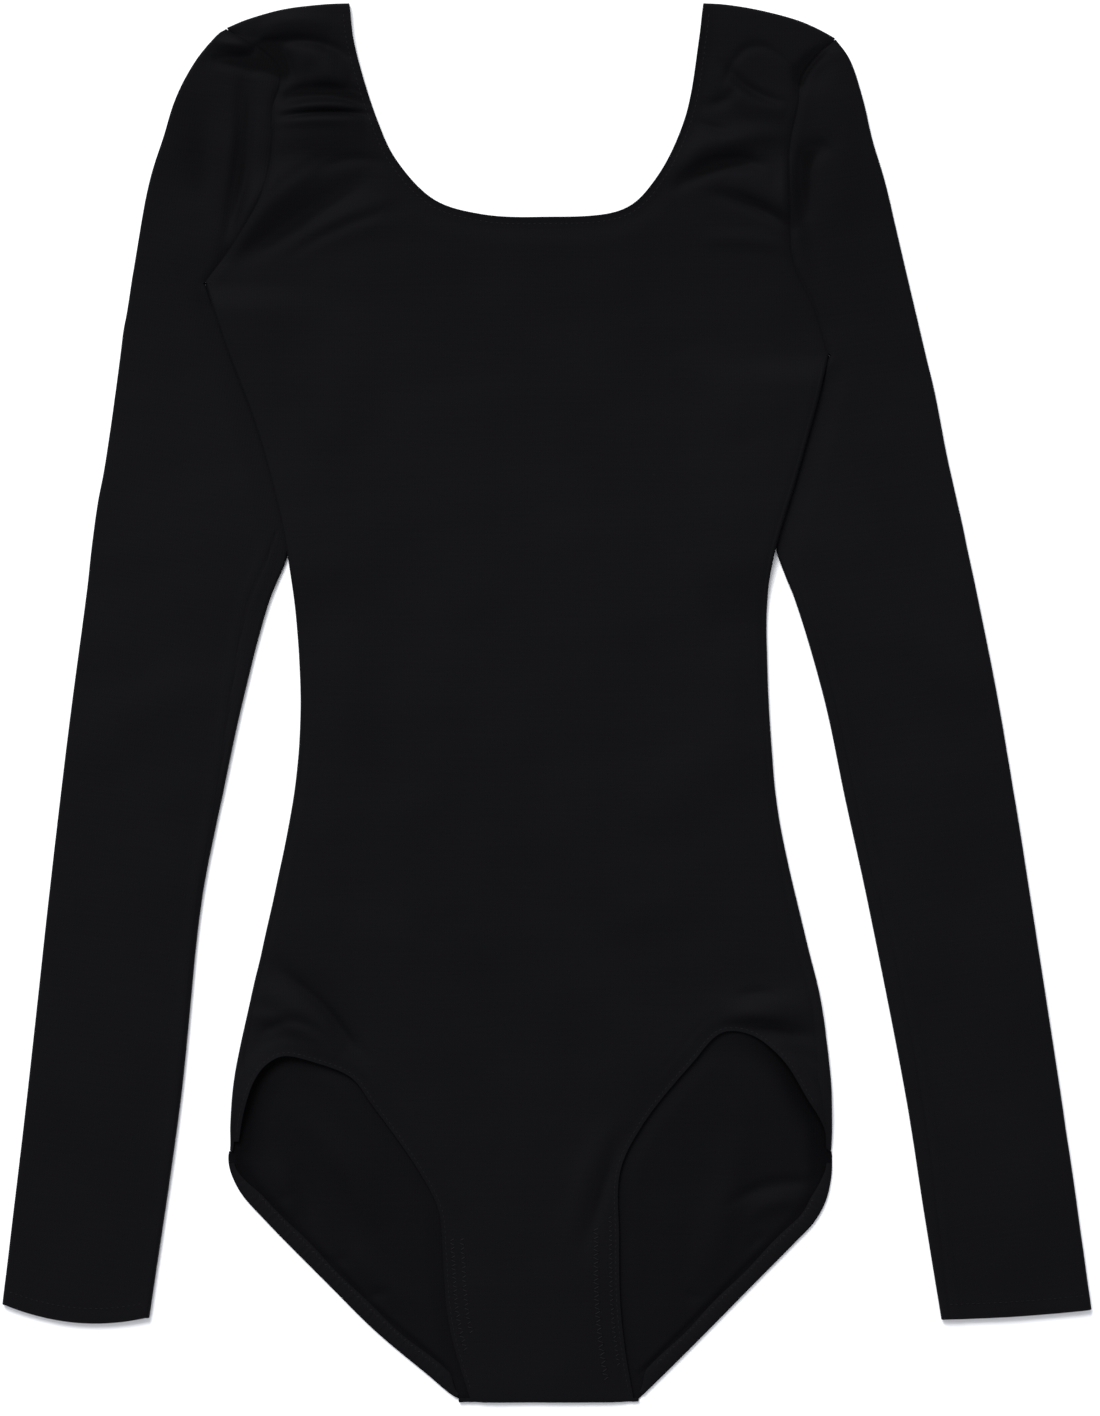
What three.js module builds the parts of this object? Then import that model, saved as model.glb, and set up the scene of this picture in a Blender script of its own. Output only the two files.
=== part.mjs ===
// Long-sleeve leotard of black stretch jersey, laid flat on its back with the front up.
// Millimetres. The origin is the middle of the base, on the surface the leotard lies on.
// +X is the right of someone looking down at the front, +Y runs to the shoulders, +Z is up.
// Cut and sewn from a front, a back and two sleeves, with an elastic hem turned in at each
// leg. The leg hems that show are those on the inside of the back.
import * as THREE from 'three';

const { clamp, lerp, smoothstep } = THREE.MathUtils;

// Walls and layers
const CLOTH = 1.0; // thickness of every wall
const SEAM_GAP = 0.3; // between the edges of two pieces that are sewn together
const ARMHOLE_GAP = 0.5; // the same at the armholes, where the seam bends
const TURN = 1.3; // radius of a turned edge, at the middle of its wall
const UNDER = CLOTH / 2; // height of the middle of the layer on the surface
const UPPER = UNDER + 2 * TURN; // the same for the layer that lies on it
const EDGE = TURN + CLOTH / 2; // from the outline in to where the turn begins
const LAYER_GAP = 0.35; // at least, between the faces of layers that lie on each other
const LEAST_UPPER = UNDER + CLOTH + LAYER_GAP; // the lowest that a trough can reach
const MIDDLE = (UNDER + UPPER) / 2; // height at which front and back meet at a shoulder
const SHOULDER_TURN = 1.25; // radians that each of them turns towards the other there

// The sides of the body, a row for each level from the underarm down to the tip of the hip.
// roll is how far the cloth of the back comes round onto the front.
const BODY_SIDE = {
  left: [
    { x: -166, y: 204, roll: 2.4 },
    { x: -157, y: 176, roll: 2.4 },
    { x: -140, y: 130, roll: 2.4 },
    { x: -126, y: 72, roll: 2.4 },
    { x: -120, y: 12, roll: 2.4 },
    { x: -122, y: -37, roll: 2.4 },
    { x: -133, y: -95, roll: 2.4 },
    { x: -144, y: -144, roll: 2.6 },
    { x: -152, y: -183, roll: 4.0 },
    { x: -154.5, y: -217, roll: 2.6 },
  ],
  right: [
    { x: 137, y: 169, roll: 2.4 },
    { x: 131, y: 144, roll: 2.4 },
    { x: 121, y: 108, roll: 2.4 },
    { x: 110, y: 70, roll: 2.4 },
    { x: 107, y: 45, roll: 2.4 },
    { x: 109, y: -18, roll: 2.4 },
    { x: 113, y: -57, roll: 2.6 },
    { x: 126, y: -115, roll: 5.6 },
    { x: 133, y: -144, roll: 4.6 },
    { x: 138, y: -183, roll: 6.2 },
    { x: 138.4, y: -196, roll: 4.2 },
    { x: 138.5, y: -207, roll: 2.5 },
    { x: 138.5, y: -217, roll: 2.4 },
  ],
};

// Seams and edges of the body, each a few [x, y] points that a smooth line runs through
const ARMHOLE = { // from the underarm up to the shoulder
  left: [[-166, 204], [-148, 229], [-137, 250], [-133, 272], [-133, 289], [-129, 304],
    [-134, 313], [-155.5, 328]],
  right: [[137, 169], [130, 192], [120, 214], [118, 236], [118, 270], [122, 290], [124, 304],
    [130, 313], [140, 323]],
};
const SHOULDER = { // from left to right
  left: [[-155.5, 328], [-146, 332], [-128, 337], [-108, 339.5], [-96, 340]],
  right: [[76, 340], [85.5, 339.5], [101.6, 337], [121, 332], [130.7, 328], [140, 323]],
};
const NECKLINE = [[-96, 340], [-94, 322], [-82.8, 284], [-73.4, 264], [-55, 244.6], [-33, 237.6],
  [-3.4, 236], [37.5, 240], [52.9, 254.6], [67.1, 284], [74, 322.5], [76, 340]];
const FRONT_LEG = { // from the tip of the hip round to the crotch
  left: [[-150, -215], [-147, -198], [-142, -183], [-136, -175], [-128, -171], [-113, -174],
    [-95, -181.5], [-84.6, -195], [-62, -227], [-52.5, -246], [-50.5, -266], [-48.6, -293],
    [-45.7, -309], [-36.5, -339.5]],
  right: [[136, -219], [134.6, -206], [126, -191], [114.7, -173], [99.6, -161], [85, -159.7],
    [70, -175], [46, -205], [35.5, -227], [35, -260], [35.5, -291], [38, -315],
    [42.3, -339.5]],
};
const BACK_LEG = { // likewise, the nearly straight diagonal of the back
  left: [[-152.7, -217], [-154.2, -220], [-153.6, -228], [-148.4, -238], [-136.6, -251.3],
    [-105, -283.3], [-83.4, -304.7], [-57.8, -326.1], [-45.5, -336.2], [-38.4, -339.5]],
  right: [[136.7, -217], [138.2, -220], [138, -230], [135.4, -241.5], [129.8, -251.8],
    [120.2, -262], [99.1, -283.3], [67.4, -315.4], [46, -336.3], [42.3, -339.5]],
};
const CROTCH = { y: -339.5, roll: 2.4 }; // roll: how far the back comes round onto the front

// Where the body's blocks meet, as shares of a line's length
const SCOOP = { from: 0.258, to: 0.745 }; // the low stretch of the neckline
const ARMHOLE_START = 0.02; // clear of the underarm corner
const STRAP_FOOT = 0.44; // of the armhole, where the shoulder strap begins
const ARMHOLE_END = 0.982; // just short of the shoulder seam
const HIP_BEND = 0.14; // of the back's leg edge, from the tip to where it runs straight
const FRONT_WING = { // the strip of front beside each leg arch: tip, top, start of the crotch
  left: { tip: 0.01, top: 0.165, crotch: 0.4, level: -172 },
  right: { tip: 0.05, top: 0.147, crotch: 0.455, level: -179 },
};

// The sleeves, a row for each section from the cuff to the underarm. The inner edge runs
// beneath the body's side from where it passes it up to just below the underarm.
const SLEEVE = {
  left: [
    { outer: [-264.4, -291.6], inner: [-193, -298.2] },
    { outer: [-252.7, -193], inner: [-177.8, -193] },
    { outer: [-242, -95.5], inner: [-167.5, -95.5] },
    { outer: [-236.3, -46], inner: [-157.7, -46] },
    { outer: [-230.4, 2], inner: [-147.4, 2] },
    { outer: [-224, 50], inner: [-134.6, 50] },
    { outer: [-220.6, 79.5], inner: [-125.4, 72] },
    { outer: [-218, 98], inner: [-124.6, 90] },
    { outer: [-215, 113.5], inner: [-127.5, 113.5] },
    { outer: [-210, 147.5], inner: [-134.5, 137] },
    { outer: [-207, 170], inner: [-144.5, 159] },
    { outer: [-205.6, 181.5], inner: [-154.5, 178] },
    { outer: [-204, 190], inner: [-163, 190] },
    { outer: [-201.5, 206], inner: [-166.4, 204] },
  ],
  right: [
    { outer: [264.4, -294], inner: [191.5, -299] },
    { outer: [257, -240.6], inner: [182, -240.6] },
    { outer: [250, -193], inner: [174.6, -193] },
    { outer: [235, -95.5], inner: [155.5, -95.5] },
    { outer: [227.2, -46], inner: [144.7, -46] },
    { outer: [219, 2], inner: [134.6, 2] },
    { outer: [209.5, 50], inner: [120.5, 50] },
    { outer: [204, 76], inner: [111, 74] },
    { outer: [201.5, 88], inner: [109.9, 86] },
    { outer: [199, 99], inner: [111.8, 99] },
    { outer: [195, 117], inner: [116.2, 116] },
    { outer: [192, 132], inner: [122.5, 131] },
    { outer: [190, 143], inner: [128.6, 144] },
    { outer: [187.5, 155], inner: [134.8, 155] },
    { outer: [184, 169], inner: [137.4, 169] },
  ],
};
const SLEEVE_CAP = { // the outer fold from the last section up to the shoulder
  left: [[-201.5, 206], [-193, 254], [-187, 274], [-181, 293], [-170, 313], [-162, 322.5],
    [-155.5, 328]],
  right: [[184, 169], [172, 220], [164, 254], [158, 274], [153.6, 293], [147, 313], [140, 323]],
};
const CAP_STRETCH = { from: 0.02, to: 0.965 }; // shares of that fold, short of the shoulder seam
const CUFF_BOW = { left: 5.4, right: 0.8 }; // how far a cuff's edge dips below a straight line
const CUFF_FADE = 3; // power by which that bow dies away up the sleeve

// The body stands up where a sleeve passes beneath it, and the sleeve lies flatter there
const PASS = {
  rise: 2.8, // of the body
  press: 1.2, // of the sleeve's upper layer
  length: 14, // of the slope below the underarm
  low: 36, // level at which the body lies flat again
  high: 72, // level down to which it is fully raised
  full: 13, // from the body's side in, fully raised
  end: 66, // from the body's side in, flat again
  sleeveLow: 38, // levels between which the flattening of the sleeve begins
  sleeveHigh: 65,
  near: 1, // from the body's side out, fully flattened
  beside: 14, // from the body's side out, no longer flattened
};

// The free edges of the front lie low: at the neck below the shoulders, and at the legs
const NECK_FALL = { depth: 1.2, width: 14, from: 330, full: 300 };
const LEG_FALL = { depth: 1.2, width: 12 };

// The largest folds, a row each: ridges rise and troughs fall. bend bows the line to its
// left, and width is the half width of the swell.
const FOLDS = [
  { from: [-128, 284], to: [-88, 282], bend: 2, rise: 2.6, width: 8 },
  { from: [-150, 317], to: [-121, 306], bend: 3, rise: -1.2, width: 7 },
  { from: [-140, 327], to: [-108, 318], bend: 4, rise: 2.0, width: 8 },
  { from: [-157, 217], to: [-110, 262], bend: 5, rise: 3.4, width: 9 },
  { from: [-158, 208], to: [-80, 256], bend: 4, rise: -1.3, width: 7 },
  { from: [-118, 226], to: [-72, 238], bend: 3, rise: 1.4, width: 9 },
  { from: [64, 276], to: [112, 278], bend: 6, rise: 2.4, width: 8 },
  { from: [60, 258], to: [106, 265], bend: 4, rise: -1.2, width: 7 },
  { from: [92, 258], to: [121, 232], bend: 3, rise: 2.6, width: 9 },
  { from: [86, 302], to: [118, 290], bend: -5, rise: 1.8, width: 8 },
  { from: [138, 316], to: [121, 300], bend: 3, rise: -1.2, width: 6 },
  { from: [-140, -138], to: [-100, -170], bend: 3, rise: 3.0, width: 8 },
  { from: [-131, -126], to: [-89, -168], bend: 4, rise: -1.2, width: 7 },
  { from: [86, -150], to: [130, -150], bend: 2, rise: 2.8, width: 8 },
  { from: [84, -161], to: [132, -164], bend: 2, rise: -1.2, width: 6 },
  { from: [-98, 196], to: [-106, 120], bend: 6, rise: 1.3, width: 15 },
  { from: [68, 172], to: [92, 124], bend: 5, rise: 1.5, width: 13 },
  { from: [-36, -24], to: [30, 4], bend: 6, rise: 1.0, width: 18 },
  { from: [44, -62], to: [84, 4], bend: -9, rise: 1.2, width: 16 },
  { from: [-84, -68], to: [-50, -46], bend: 3, rise: 0.9, width: 15 },
  { from: [-142, 290], to: [-152, 238], bend: -3, rise: 1.6, width: 8 },
  { from: [-182, 300], to: [-178, 236], bend: 3, rise: -1.2, width: 12 },
  { from: [137, 300], to: [141, 226], bend: 4, rise: 1.6, width: 11 },
  { from: [-232, -30], to: [-166, 10], bend: 4, rise: 1.2, width: 15 },
  { from: [158, 40], to: [212, -6], bend: 5, rise: 1.2, width: 15 },
];

// Elastic hem turned in at the back's leg edges
const LEG_HEM = { width: 7, inset: 0.5, from: 0.045, to: 0.93 };

// How finely each stretch is cut into facets
const FACETS = { strap: 5, scoop: 12, arch: 4, wing: 3, torso: 16, armholeLow: 4,
  armholeHigh: 6, crotch: 9, seat: 7, hip: 4, sleeve: 7, sleeveLong: 2, hem: 16, turn: 4,
  shoulder: 3 };
const LONG_SECTION = 0.15; // share of a sleeve's length from which a section takes more rows
const SAMPLES = 16; // of a smooth line, between two of its points
const FOLD_SWELL = { from: 0.04, to: 0.96 }; // shares of a half wave that a fold swells by

const range = (count) => Array.from({ length: count }, (_, i) => i);
const point = ([x, y]) => new THREE.Vector2(x, y);
const raise = (flat, z) => new THREE.Vector3(flat.x, flat.y, z);
const bow = (share) => 4 * share * (1 - share); // 0 at both ends of a line, 1 in its middle

// A smooth line through a few points, walked by its share of the length.
class SmoothLine {
  constructor(points) {
    const knots = points.map(([x, y]) => new THREE.Vector3(x, y, 0));
    const curve = new THREE.CatmullRomCurve3(knots, false, 'centripetal');
    this.samples = curve.getPoints(SAMPLES * (knots.length - 1)).map(({ x, y }) => point([x, y]));
    this.lengths = [0];
    this.samples.slice(1).forEach((sample, i) => {
      this.lengths.push(this.lengths[i] + sample.distanceTo(this.samples[i]));
    });
  }

  at(share) {
    const along = share * this.lengths.at(-1);
    let i = 1;
    while (i < this.lengths.length - 1 && this.lengths[i] < along) i++;
    const step = (along - this.lengths[i - 1]) / (this.lengths[i] - this.lengths[i - 1]);
    return this.samples[i - 1].clone().lerp(this.samples[i], step);
  }

  stretch(from, to, steps) {
    return range(steps + 1).map((i) => this.at(lerp(from, to, i / steps)));
  }

  // The share at which the line last crosses a level
  shareAtLevel(y) {
    for (let i = this.samples.length - 1; i > 0; i--) {
      const [low, high] = [this.samples[i - 1].y, this.samples[i].y];
      if ((low - y) * (high - y) <= 0 && low !== high) {
        const step = (y - low) / (high - low);
        return lerp(this.lengths[i - 1], this.lengths[i], step) / this.lengths.at(-1);
      }
    }
    return y > this.samples[0].y === this.samples[0].y > this.samples.at(-1).y ? 0 : 1;
  }

  distanceTo(flat) {
    return Math.min(...this.samples.map((sample) => sample.distanceTo(flat)));
  }
}

// Points moved to the right of the way they are walked in, each by its own distance.
function moveAside(points, distances) {
  return points.map((flat, i) => {
    const before = points[Math.max(i - 1, 0)];
    const after = points[Math.min(i + 1, points.length - 1)];
    const way = after.clone().sub(before).normalize();
    const distance = Array.isArray(distances) ? distances[i] : distances;
    return new THREE.Vector2(flat.x + way.y * distance, flat.y - way.x * distance);
  });
}

// Shares of the whole length at which the points of a broken line lie.
function sharesOf(points) {
  const lengths = [0];
  points.slice(1).forEach((flat, i) => lengths.push(lengths[i] + flat.distanceTo(points[i])));
  return lengths.map((length) => length / lengths.at(-1));
}

// A grid of points that fills four edges which meet at their ends, row 0 at the bottom.
function fill(bottom, top, left, right) {
  const [below, above] = [sharesOf(bottom), sharesOf(top)];
  const [leftward, rightward] = [sharesOf(left), sharesOf(right)];
  return left.map((start, i) => bottom.map((base, j) => {
    const u = (below[j] + above[j]) / 2;
    const v = (leftward[i] + rightward[i]) / 2;
    const across = start.clone().lerp(right[i], u);
    const upward = base.clone().lerp(top[j], v);
    const lowCorners = bottom[0].clone().lerp(bottom.at(-1), u);
    const corners = lowCorners.lerp(top[0].clone().lerp(top.at(-1), u), v);
    return across.add(upward).sub(corners);
  }));
}

// A sheet of cloth without thickness: shared points, and quads between rows of points.
class Sheet {
  constructor() {
    this.points = [];
    this.quads = [];
    this.found = new Map();
  }

  add(place) {
    const key = [place.x, place.y, place.z].map((size) => size.toFixed(3)).join();
    if (!this.found.has(key)) {
      this.found.set(key, this.points.length);
      this.points.push(place);
    }
    return this.found.get(key);
  }

  patch(rows) {
    const indices = rows.map((row) => row.map((place) => this.add(place)));
    for (let i = 1; i < rows.length; i++) {
      for (let j = 1; j < rows[i].length; j++) {
        const [low, high] = [indices[i - 1], indices[i]];
        this.quads.push([low[j - 1], low[j], high[j], high[j - 1]]);
      }
    }
  }

  // Each quad as two triangles, cut across its shorter diagonal
  triangles() {
    return this.quads.flatMap(([a, b, c, d]) => {
      const [pa, pb, pc, pd] = [a, b, c, d].map((i) => this.points[i]);
      const halves = pa.distanceTo(pc) < pb.distanceTo(pd)
        ? [[a, b, c], [a, c, d]]
        : [[a, b, d], [b, c, d]];
      return halves.filter((corners) => new Set(corners).size === 3);
    });
  }

  // How far each point moves to reach the outer face of a wall of unit half thickness
  offsets(triangles) {
    const meeting = this.points.map(() => []);
    for (const corners of triangles) {
      const [a, b, c] = corners.map((i) => this.points[i]);
      const normal = new THREE.Triangle(a, b, c).getNormal(new THREE.Vector3());
      corners.forEach((index, k) => {
        const [p, q, r] = [a, b, c].map((_, m) => [a, b, c][(m + k) % 3]);
        const angle = q.clone().sub(p).angleTo(r.clone().sub(p));
        meeting[index].push({ normal, angle });
      });
    }
    return meeting.map((faces) => {
      const mean = new THREE.Vector3();
      faces.forEach(({ normal, angle }) => mean.addScaledVector(normal, angle));
      mean.normalize();
      const total = faces.reduce((sum, { angle }) => sum + angle, 0);
      const facing = faces.reduce((sum, { normal, angle }) => sum + normal.dot(mean) * angle, 0);
      return mean.divideScalar(facing / total);
    });
  }

  // The closed solid: the sheet moved out by half the thickness on both faces, with its
  // free edges closed between them. Nothing reaches below the surface that it lies on.
  wall(thickness) {
    const triangles = this.triangles();
    const offsets = this.offsets(triangles);
    const count = this.points.length;
    const face = (side) => this.points.map((place, i) => {
      const moved = place.clone().addScaledVector(offsets[i], side * thickness / 2);
      return [moved.x, moved.y, Math.max(moved.z, 0)];
    });
    const corners = triangles.flatMap(([a, b, c]) => [[a, b, c], [a + count, c + count, b + count]]);
    const edges = new Map();
    for (const [a, b, c] of triangles) {
      for (const [from, to] of [[a, b], [b, c], [c, a]]) edges.set(`${from},${to}`, [from, to]);
    }
    for (const [from, to] of edges.values()) {
      if (edges.has(`${to},${from}`)) continue;
      corners.push([to, from, from + count], [to, from + count, to + count]);
    }
    const geometry = new THREE.BufferGeometry();
    const places = [...face(1), ...face(-1)].flat();
    geometry.setAttribute('position', new THREE.Float32BufferAttribute(places, 3));
    geometry.setIndex(corners.flat());
    geometry.computeVertexNormals();
    return geometry;
  }
}

// Points round a turned edge, between the upper and the lower point of its two layers. Where
// the layers lie closer together, the edge turns more tightly.
function turn(upper, lower, outward) {
  const reach = Math.min(TURN, (upper.z - lower.z) / 2);
  return range(FACETS.turn - 1).map((i) => {
    const angle = Math.PI * (i + 1) / FACETS.turn;
    const height = lerp(lower.z, upper.z, (1 + Math.cos(angle)) / 2);
    const flat = new THREE.Vector2(upper.x, upper.y);
    return raise(flat.addScaledVector(outward, reach * Math.sin(angle)), height);
  });
}

const rollOf = (rows, y) => {
  const i = Math.max(1, rows.findIndex((row) => row.y <= y));
  const [high, low] = [rows[i - 1], rows[i]];
  return lerp(high.roll, low.roll, clamp((high.y - y) / (high.y - low.y), 0, 1));
};

const line = (points) => new SmoothLine(points);
const neckline = line(NECKLINE);
const halves = Object.fromEntries(['left', 'right'].map((side) => [side, {
  inward: side === 'left' ? 1 : -1,
  side: line(BODY_SIDE[side].map(({ x, y }) => [x, y])),
  armhole: line(ARMHOLE[side]),
  shoulder: line(SHOULDER[side]),
  frontLeg: line(FRONT_LEG[side]),
  backLeg: line(BACK_LEG[side]),
  outer: line(SLEEVE[side].map(({ outer }) => outer)),
  inner: line(SLEEVE[side].map(({ inner }) => inner)),
  cap: line(SLEEVE_CAP[side]),
  rollAt: (y) => rollOf(BODY_SIDE[side], y),
  underarm: ARMHOLE[side][0][1],
  wingTop: FRONT_WING[side].level,
}]));

// How far a point lies inside the body's side at its own level
function insideOf(half, { x, y }) {
  return (x - half.side.at(half.side.shareAtLevel(y)).x) * half.inward;
}

function lift(flat) {
  return Object.values(halves).reduce((sum, half) => {
    const along = smoothstep(half.underarm - flat.y, 0, PASS.length)
      * smoothstep(flat.y, PASS.low, PASS.high);
    return sum + PASS.rise * along * (1 - smoothstep(insideOf(half, flat), PASS.full, PASS.end));
  }, 0);
}

function folds(flat) {
  return FOLDS.reduce((sum, { from, to, bend, rise, width }) => {
    const [start, end] = [point(from), point(to)];
    const way = end.clone().sub(start);
    const length = way.length();
    way.divideScalar(length);
    const away = flat.clone().sub(start);
    const along = clamp(away.dot(way) / length, 0, 1);
    const beyond = away.dot(way) - along * length;
    const aside = way.x * away.y - way.y * away.x - bend * bow(along);
    const fade = Math.sin(Math.PI * lerp(FOLD_SWELL.from, FOLD_SWELL.to, along));
    return sum + rise * fade * Math.exp(-(aside ** 2 + beyond ** 2) / width ** 2);
  }, 0);
}

function frontHeight(flat) {
  const nearNeck = 1 - smoothstep(neckline.distanceTo(flat), 0, NECK_FALL.width);
  const belowShoulder = smoothstep(-flat.y, -NECK_FALL.from, -NECK_FALL.full);
  const legs = Object.values(halves).map(({ frontLeg }) => frontLeg.distanceTo(flat));
  const nearLeg = 1 - smoothstep(Math.min(...legs), 0, LEG_FALL.width);
  const fall = NECK_FALL.depth * nearNeck * belowShoulder + LEG_FALL.depth * nearLeg;
  return lift(flat) + Math.max(UPPER + folds(flat) - fall, LEAST_UPPER);
}

const backHeight = (flat) => UNDER + lift(flat);

function sleeveHeight(half, flat) {
  const along = smoothstep(half.underarm - flat.y, 0, PASS.length)
    * smoothstep(flat.y, PASS.sleeveLow, PASS.sleeveHigh);
  const beside = 1 - smoothstep(-insideOf(half, flat), PASS.near, PASS.beside);
  const pressed = along * beside;
  return Math.max(UPPER - PASS.press * pressed + folds(flat) * (1 - pressed), LEAST_UPPER);
}

// Edge of an armhole from the underarm up, on the body's side of the seam or the sleeve's.
function armholeEdge(half, direction) {
  const low = half.armhole.stretch(ARMHOLE_START, STRAP_FOOT, FACETS.armholeLow);
  const high = half.armhole.stretch(STRAP_FOOT, ARMHOLE_END, FACETS.armholeHigh);
  return moveAside([...low, ...high.slice(1)], direction * half.inward * ARMHOLE_GAP / 2);
}

// Side edge of a body piece up to the underarm, with a row where the slope over the sleeve
// ends, then up the armhole to the foot of the strap. It starts at the hip's tip or, for
// the front, at the top of the wing.
function bodySide(half, start, insetAt) {
  const { side, underarm, wingTop } = half;
  const slopeEnd = side.shareAtLevel(underarm - PASS.length);
  const wingShare = side.shareAtLevel(wingTop);
  const outline = [
    ...side.stretch(1, wingShare, FACETS.wing),
    ...side.stretch(wingShare, slopeEnd, FACETS.torso).slice(1),
    side.at(0),
  ].slice(start);
  const edge = moveAside(outline, outline.map(({ y }) => insetAt(y) * half.inward));
  const armhole = armholeEdge(half, 1).slice(0, FACETS.armholeLow + 1);
  return { outline, edge, all: [...edge, ...armhole] };
}

// The grid from a bottom edge up to the neckline, and the two straps above it.
function bodyBlocks(bottom, sides) {
  const straps = ['left', 'right'].map((name) => {
    const half = halves[name];
    const armhole = armholeEdge(half, 1).slice(FACETS.armholeLow);
    const neck = name === 'left'
      ? neckline.stretch(SCOOP.from, 0, FACETS.armholeHigh)
      : neckline.stretch(SCOOP.to, 1, FACETS.armholeHigh);
    const outline = half.shoulder.stretch(0, 1, FACETS.strap);
    const top = moveAside(outline, EDGE);
    const [left, right] = name === 'left' ? [armhole, neck] : [neck, armhole];
    left[left.length - 1] = name === 'left' ? left.at(-1) : top[0];
    right[right.length - 1] = name === 'left' ? top.at(-1) : right.at(-1);
    top[0] = left.at(-1);
    top[top.length - 1] = right.at(-1);
    const foot = range(FACETS.strap + 1).map((i) => (
      left[0].clone().lerp(right[0], i / FACETS.strap)));
    const outward = moveAside(outline, -1).map((moved, i) => moved.sub(outline[i]));
    return { grid: fill(foot, top, left, right), foot, outward };
  });
  const scoop = neckline.stretch(SCOOP.from, SCOOP.to, FACETS.scoop).slice(1, -1);
  const top = [...straps[0].foot, ...scoop, ...straps[1].foot];
  return { torso: fill(bottom, top, sides.left.all, sides.right.all), straps };
}

// A quarter turn past the top row of a strap, down or up to the shoulder seam.
function shoulderTurn(row, outward, direction) {
  return range(FACETS.shoulder).map((i) => row.map((place, j) => {
    const angle = SHOULDER_TURN * (i + 1) / FACETS.shoulder;
    const drop = Math.abs(place.z - MIDDLE) * (1 - Math.cos(angle));
    const reach = outward[j].clone().multiplyScalar(TURN * Math.sin(angle));
    return new THREE.Vector3(place.x + reach.x, place.y + reach.y, place.z + direction * drop);
  }));
}

const raiseGrid = (grid, height) => grid.map((row) => row.map((flat) => raise(flat, height(flat))));

function buildFront() {
  const sheet = new Sheet();
  const insetOf = (half) => (y) => half.rollAt(y) + SEAM_GAP;
  const sides = Object.fromEntries(Object.entries(halves).map(([name, half]) => (
    [name, bodySide(half, FACETS.wing, insetOf(half))])));
  const archOf = (name) => {
    const { top, crotch } = FRONT_WING[name];
    return halves[name].frontLeg.stretch(top, crotch, FACETS.arch);
  };
  const [leftArch, rightArch] = [archOf('left'), archOf('right').reverse()];
  const crotchTop = range(FACETS.scoop - 1).map((i) => (
    leftArch.at(-1).clone().lerp(rightArch[0], i / (FACETS.scoop - 2))));
  const bottom = [sides.left.edge[0], ...leftArch, ...crotchTop.slice(1, -1), ...rightArch,
    sides.right.edge[0]];
  const { torso, straps } = bodyBlocks(bottom, sides);
  sheet.patch(raiseGrid(torso, frontHeight));
  for (const { grid, outward } of straps) {
    const rows = raiseGrid(grid, frontHeight);
    sheet.patch([...rows, ...shoulderTurn(rows.at(-1), outward, -1)]);
  }

  const crotchLevel = CROTCH.y + CROTCH.roll + SEAM_GAP;
  const crotchSide = (name) => {
    const { frontLeg } = halves[name];
    const end = frontLeg.shareAtLevel(crotchLevel);
    return frontLeg.stretch(end, FRONT_WING[name].crotch, FACETS.crotch);
  };
  const [left, right] = [crotchSide('left'), crotchSide('right')];
  const base = crotchTop.map((_, i) => left[0].clone().lerp(right[0], i / (crotchTop.length - 1)));
  sheet.patch(raiseGrid(fill(base, crotchTop, left, right), frontHeight));

  for (const [name, half] of Object.entries(halves)) {
    const place = FRONT_WING[name];
    const leg = half.frontLeg.stretch(place.tip, place.top, FACETS.wing);
    const outline = range(FACETS.wing + 1).map((i) => {
      const y = lerp(leg[0].y, half.wingTop, i / FACETS.wing);
      return half.side.at(half.side.shareAtLevel(y));
    });
    const edge = moveAside(outline, outline.map(({ y }) => insetOf(half)(y) * half.inward));
    edge[FACETS.wing] = sides[name].edge[0];
    const rows = edge.map((flat, i) => (name === 'left' ? [flat, leg[i]] : [leg[i], flat]));
    sheet.patch(raiseGrid(rows, frontHeight));
  }
  return sheet.wall(CLOTH);
}

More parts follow.
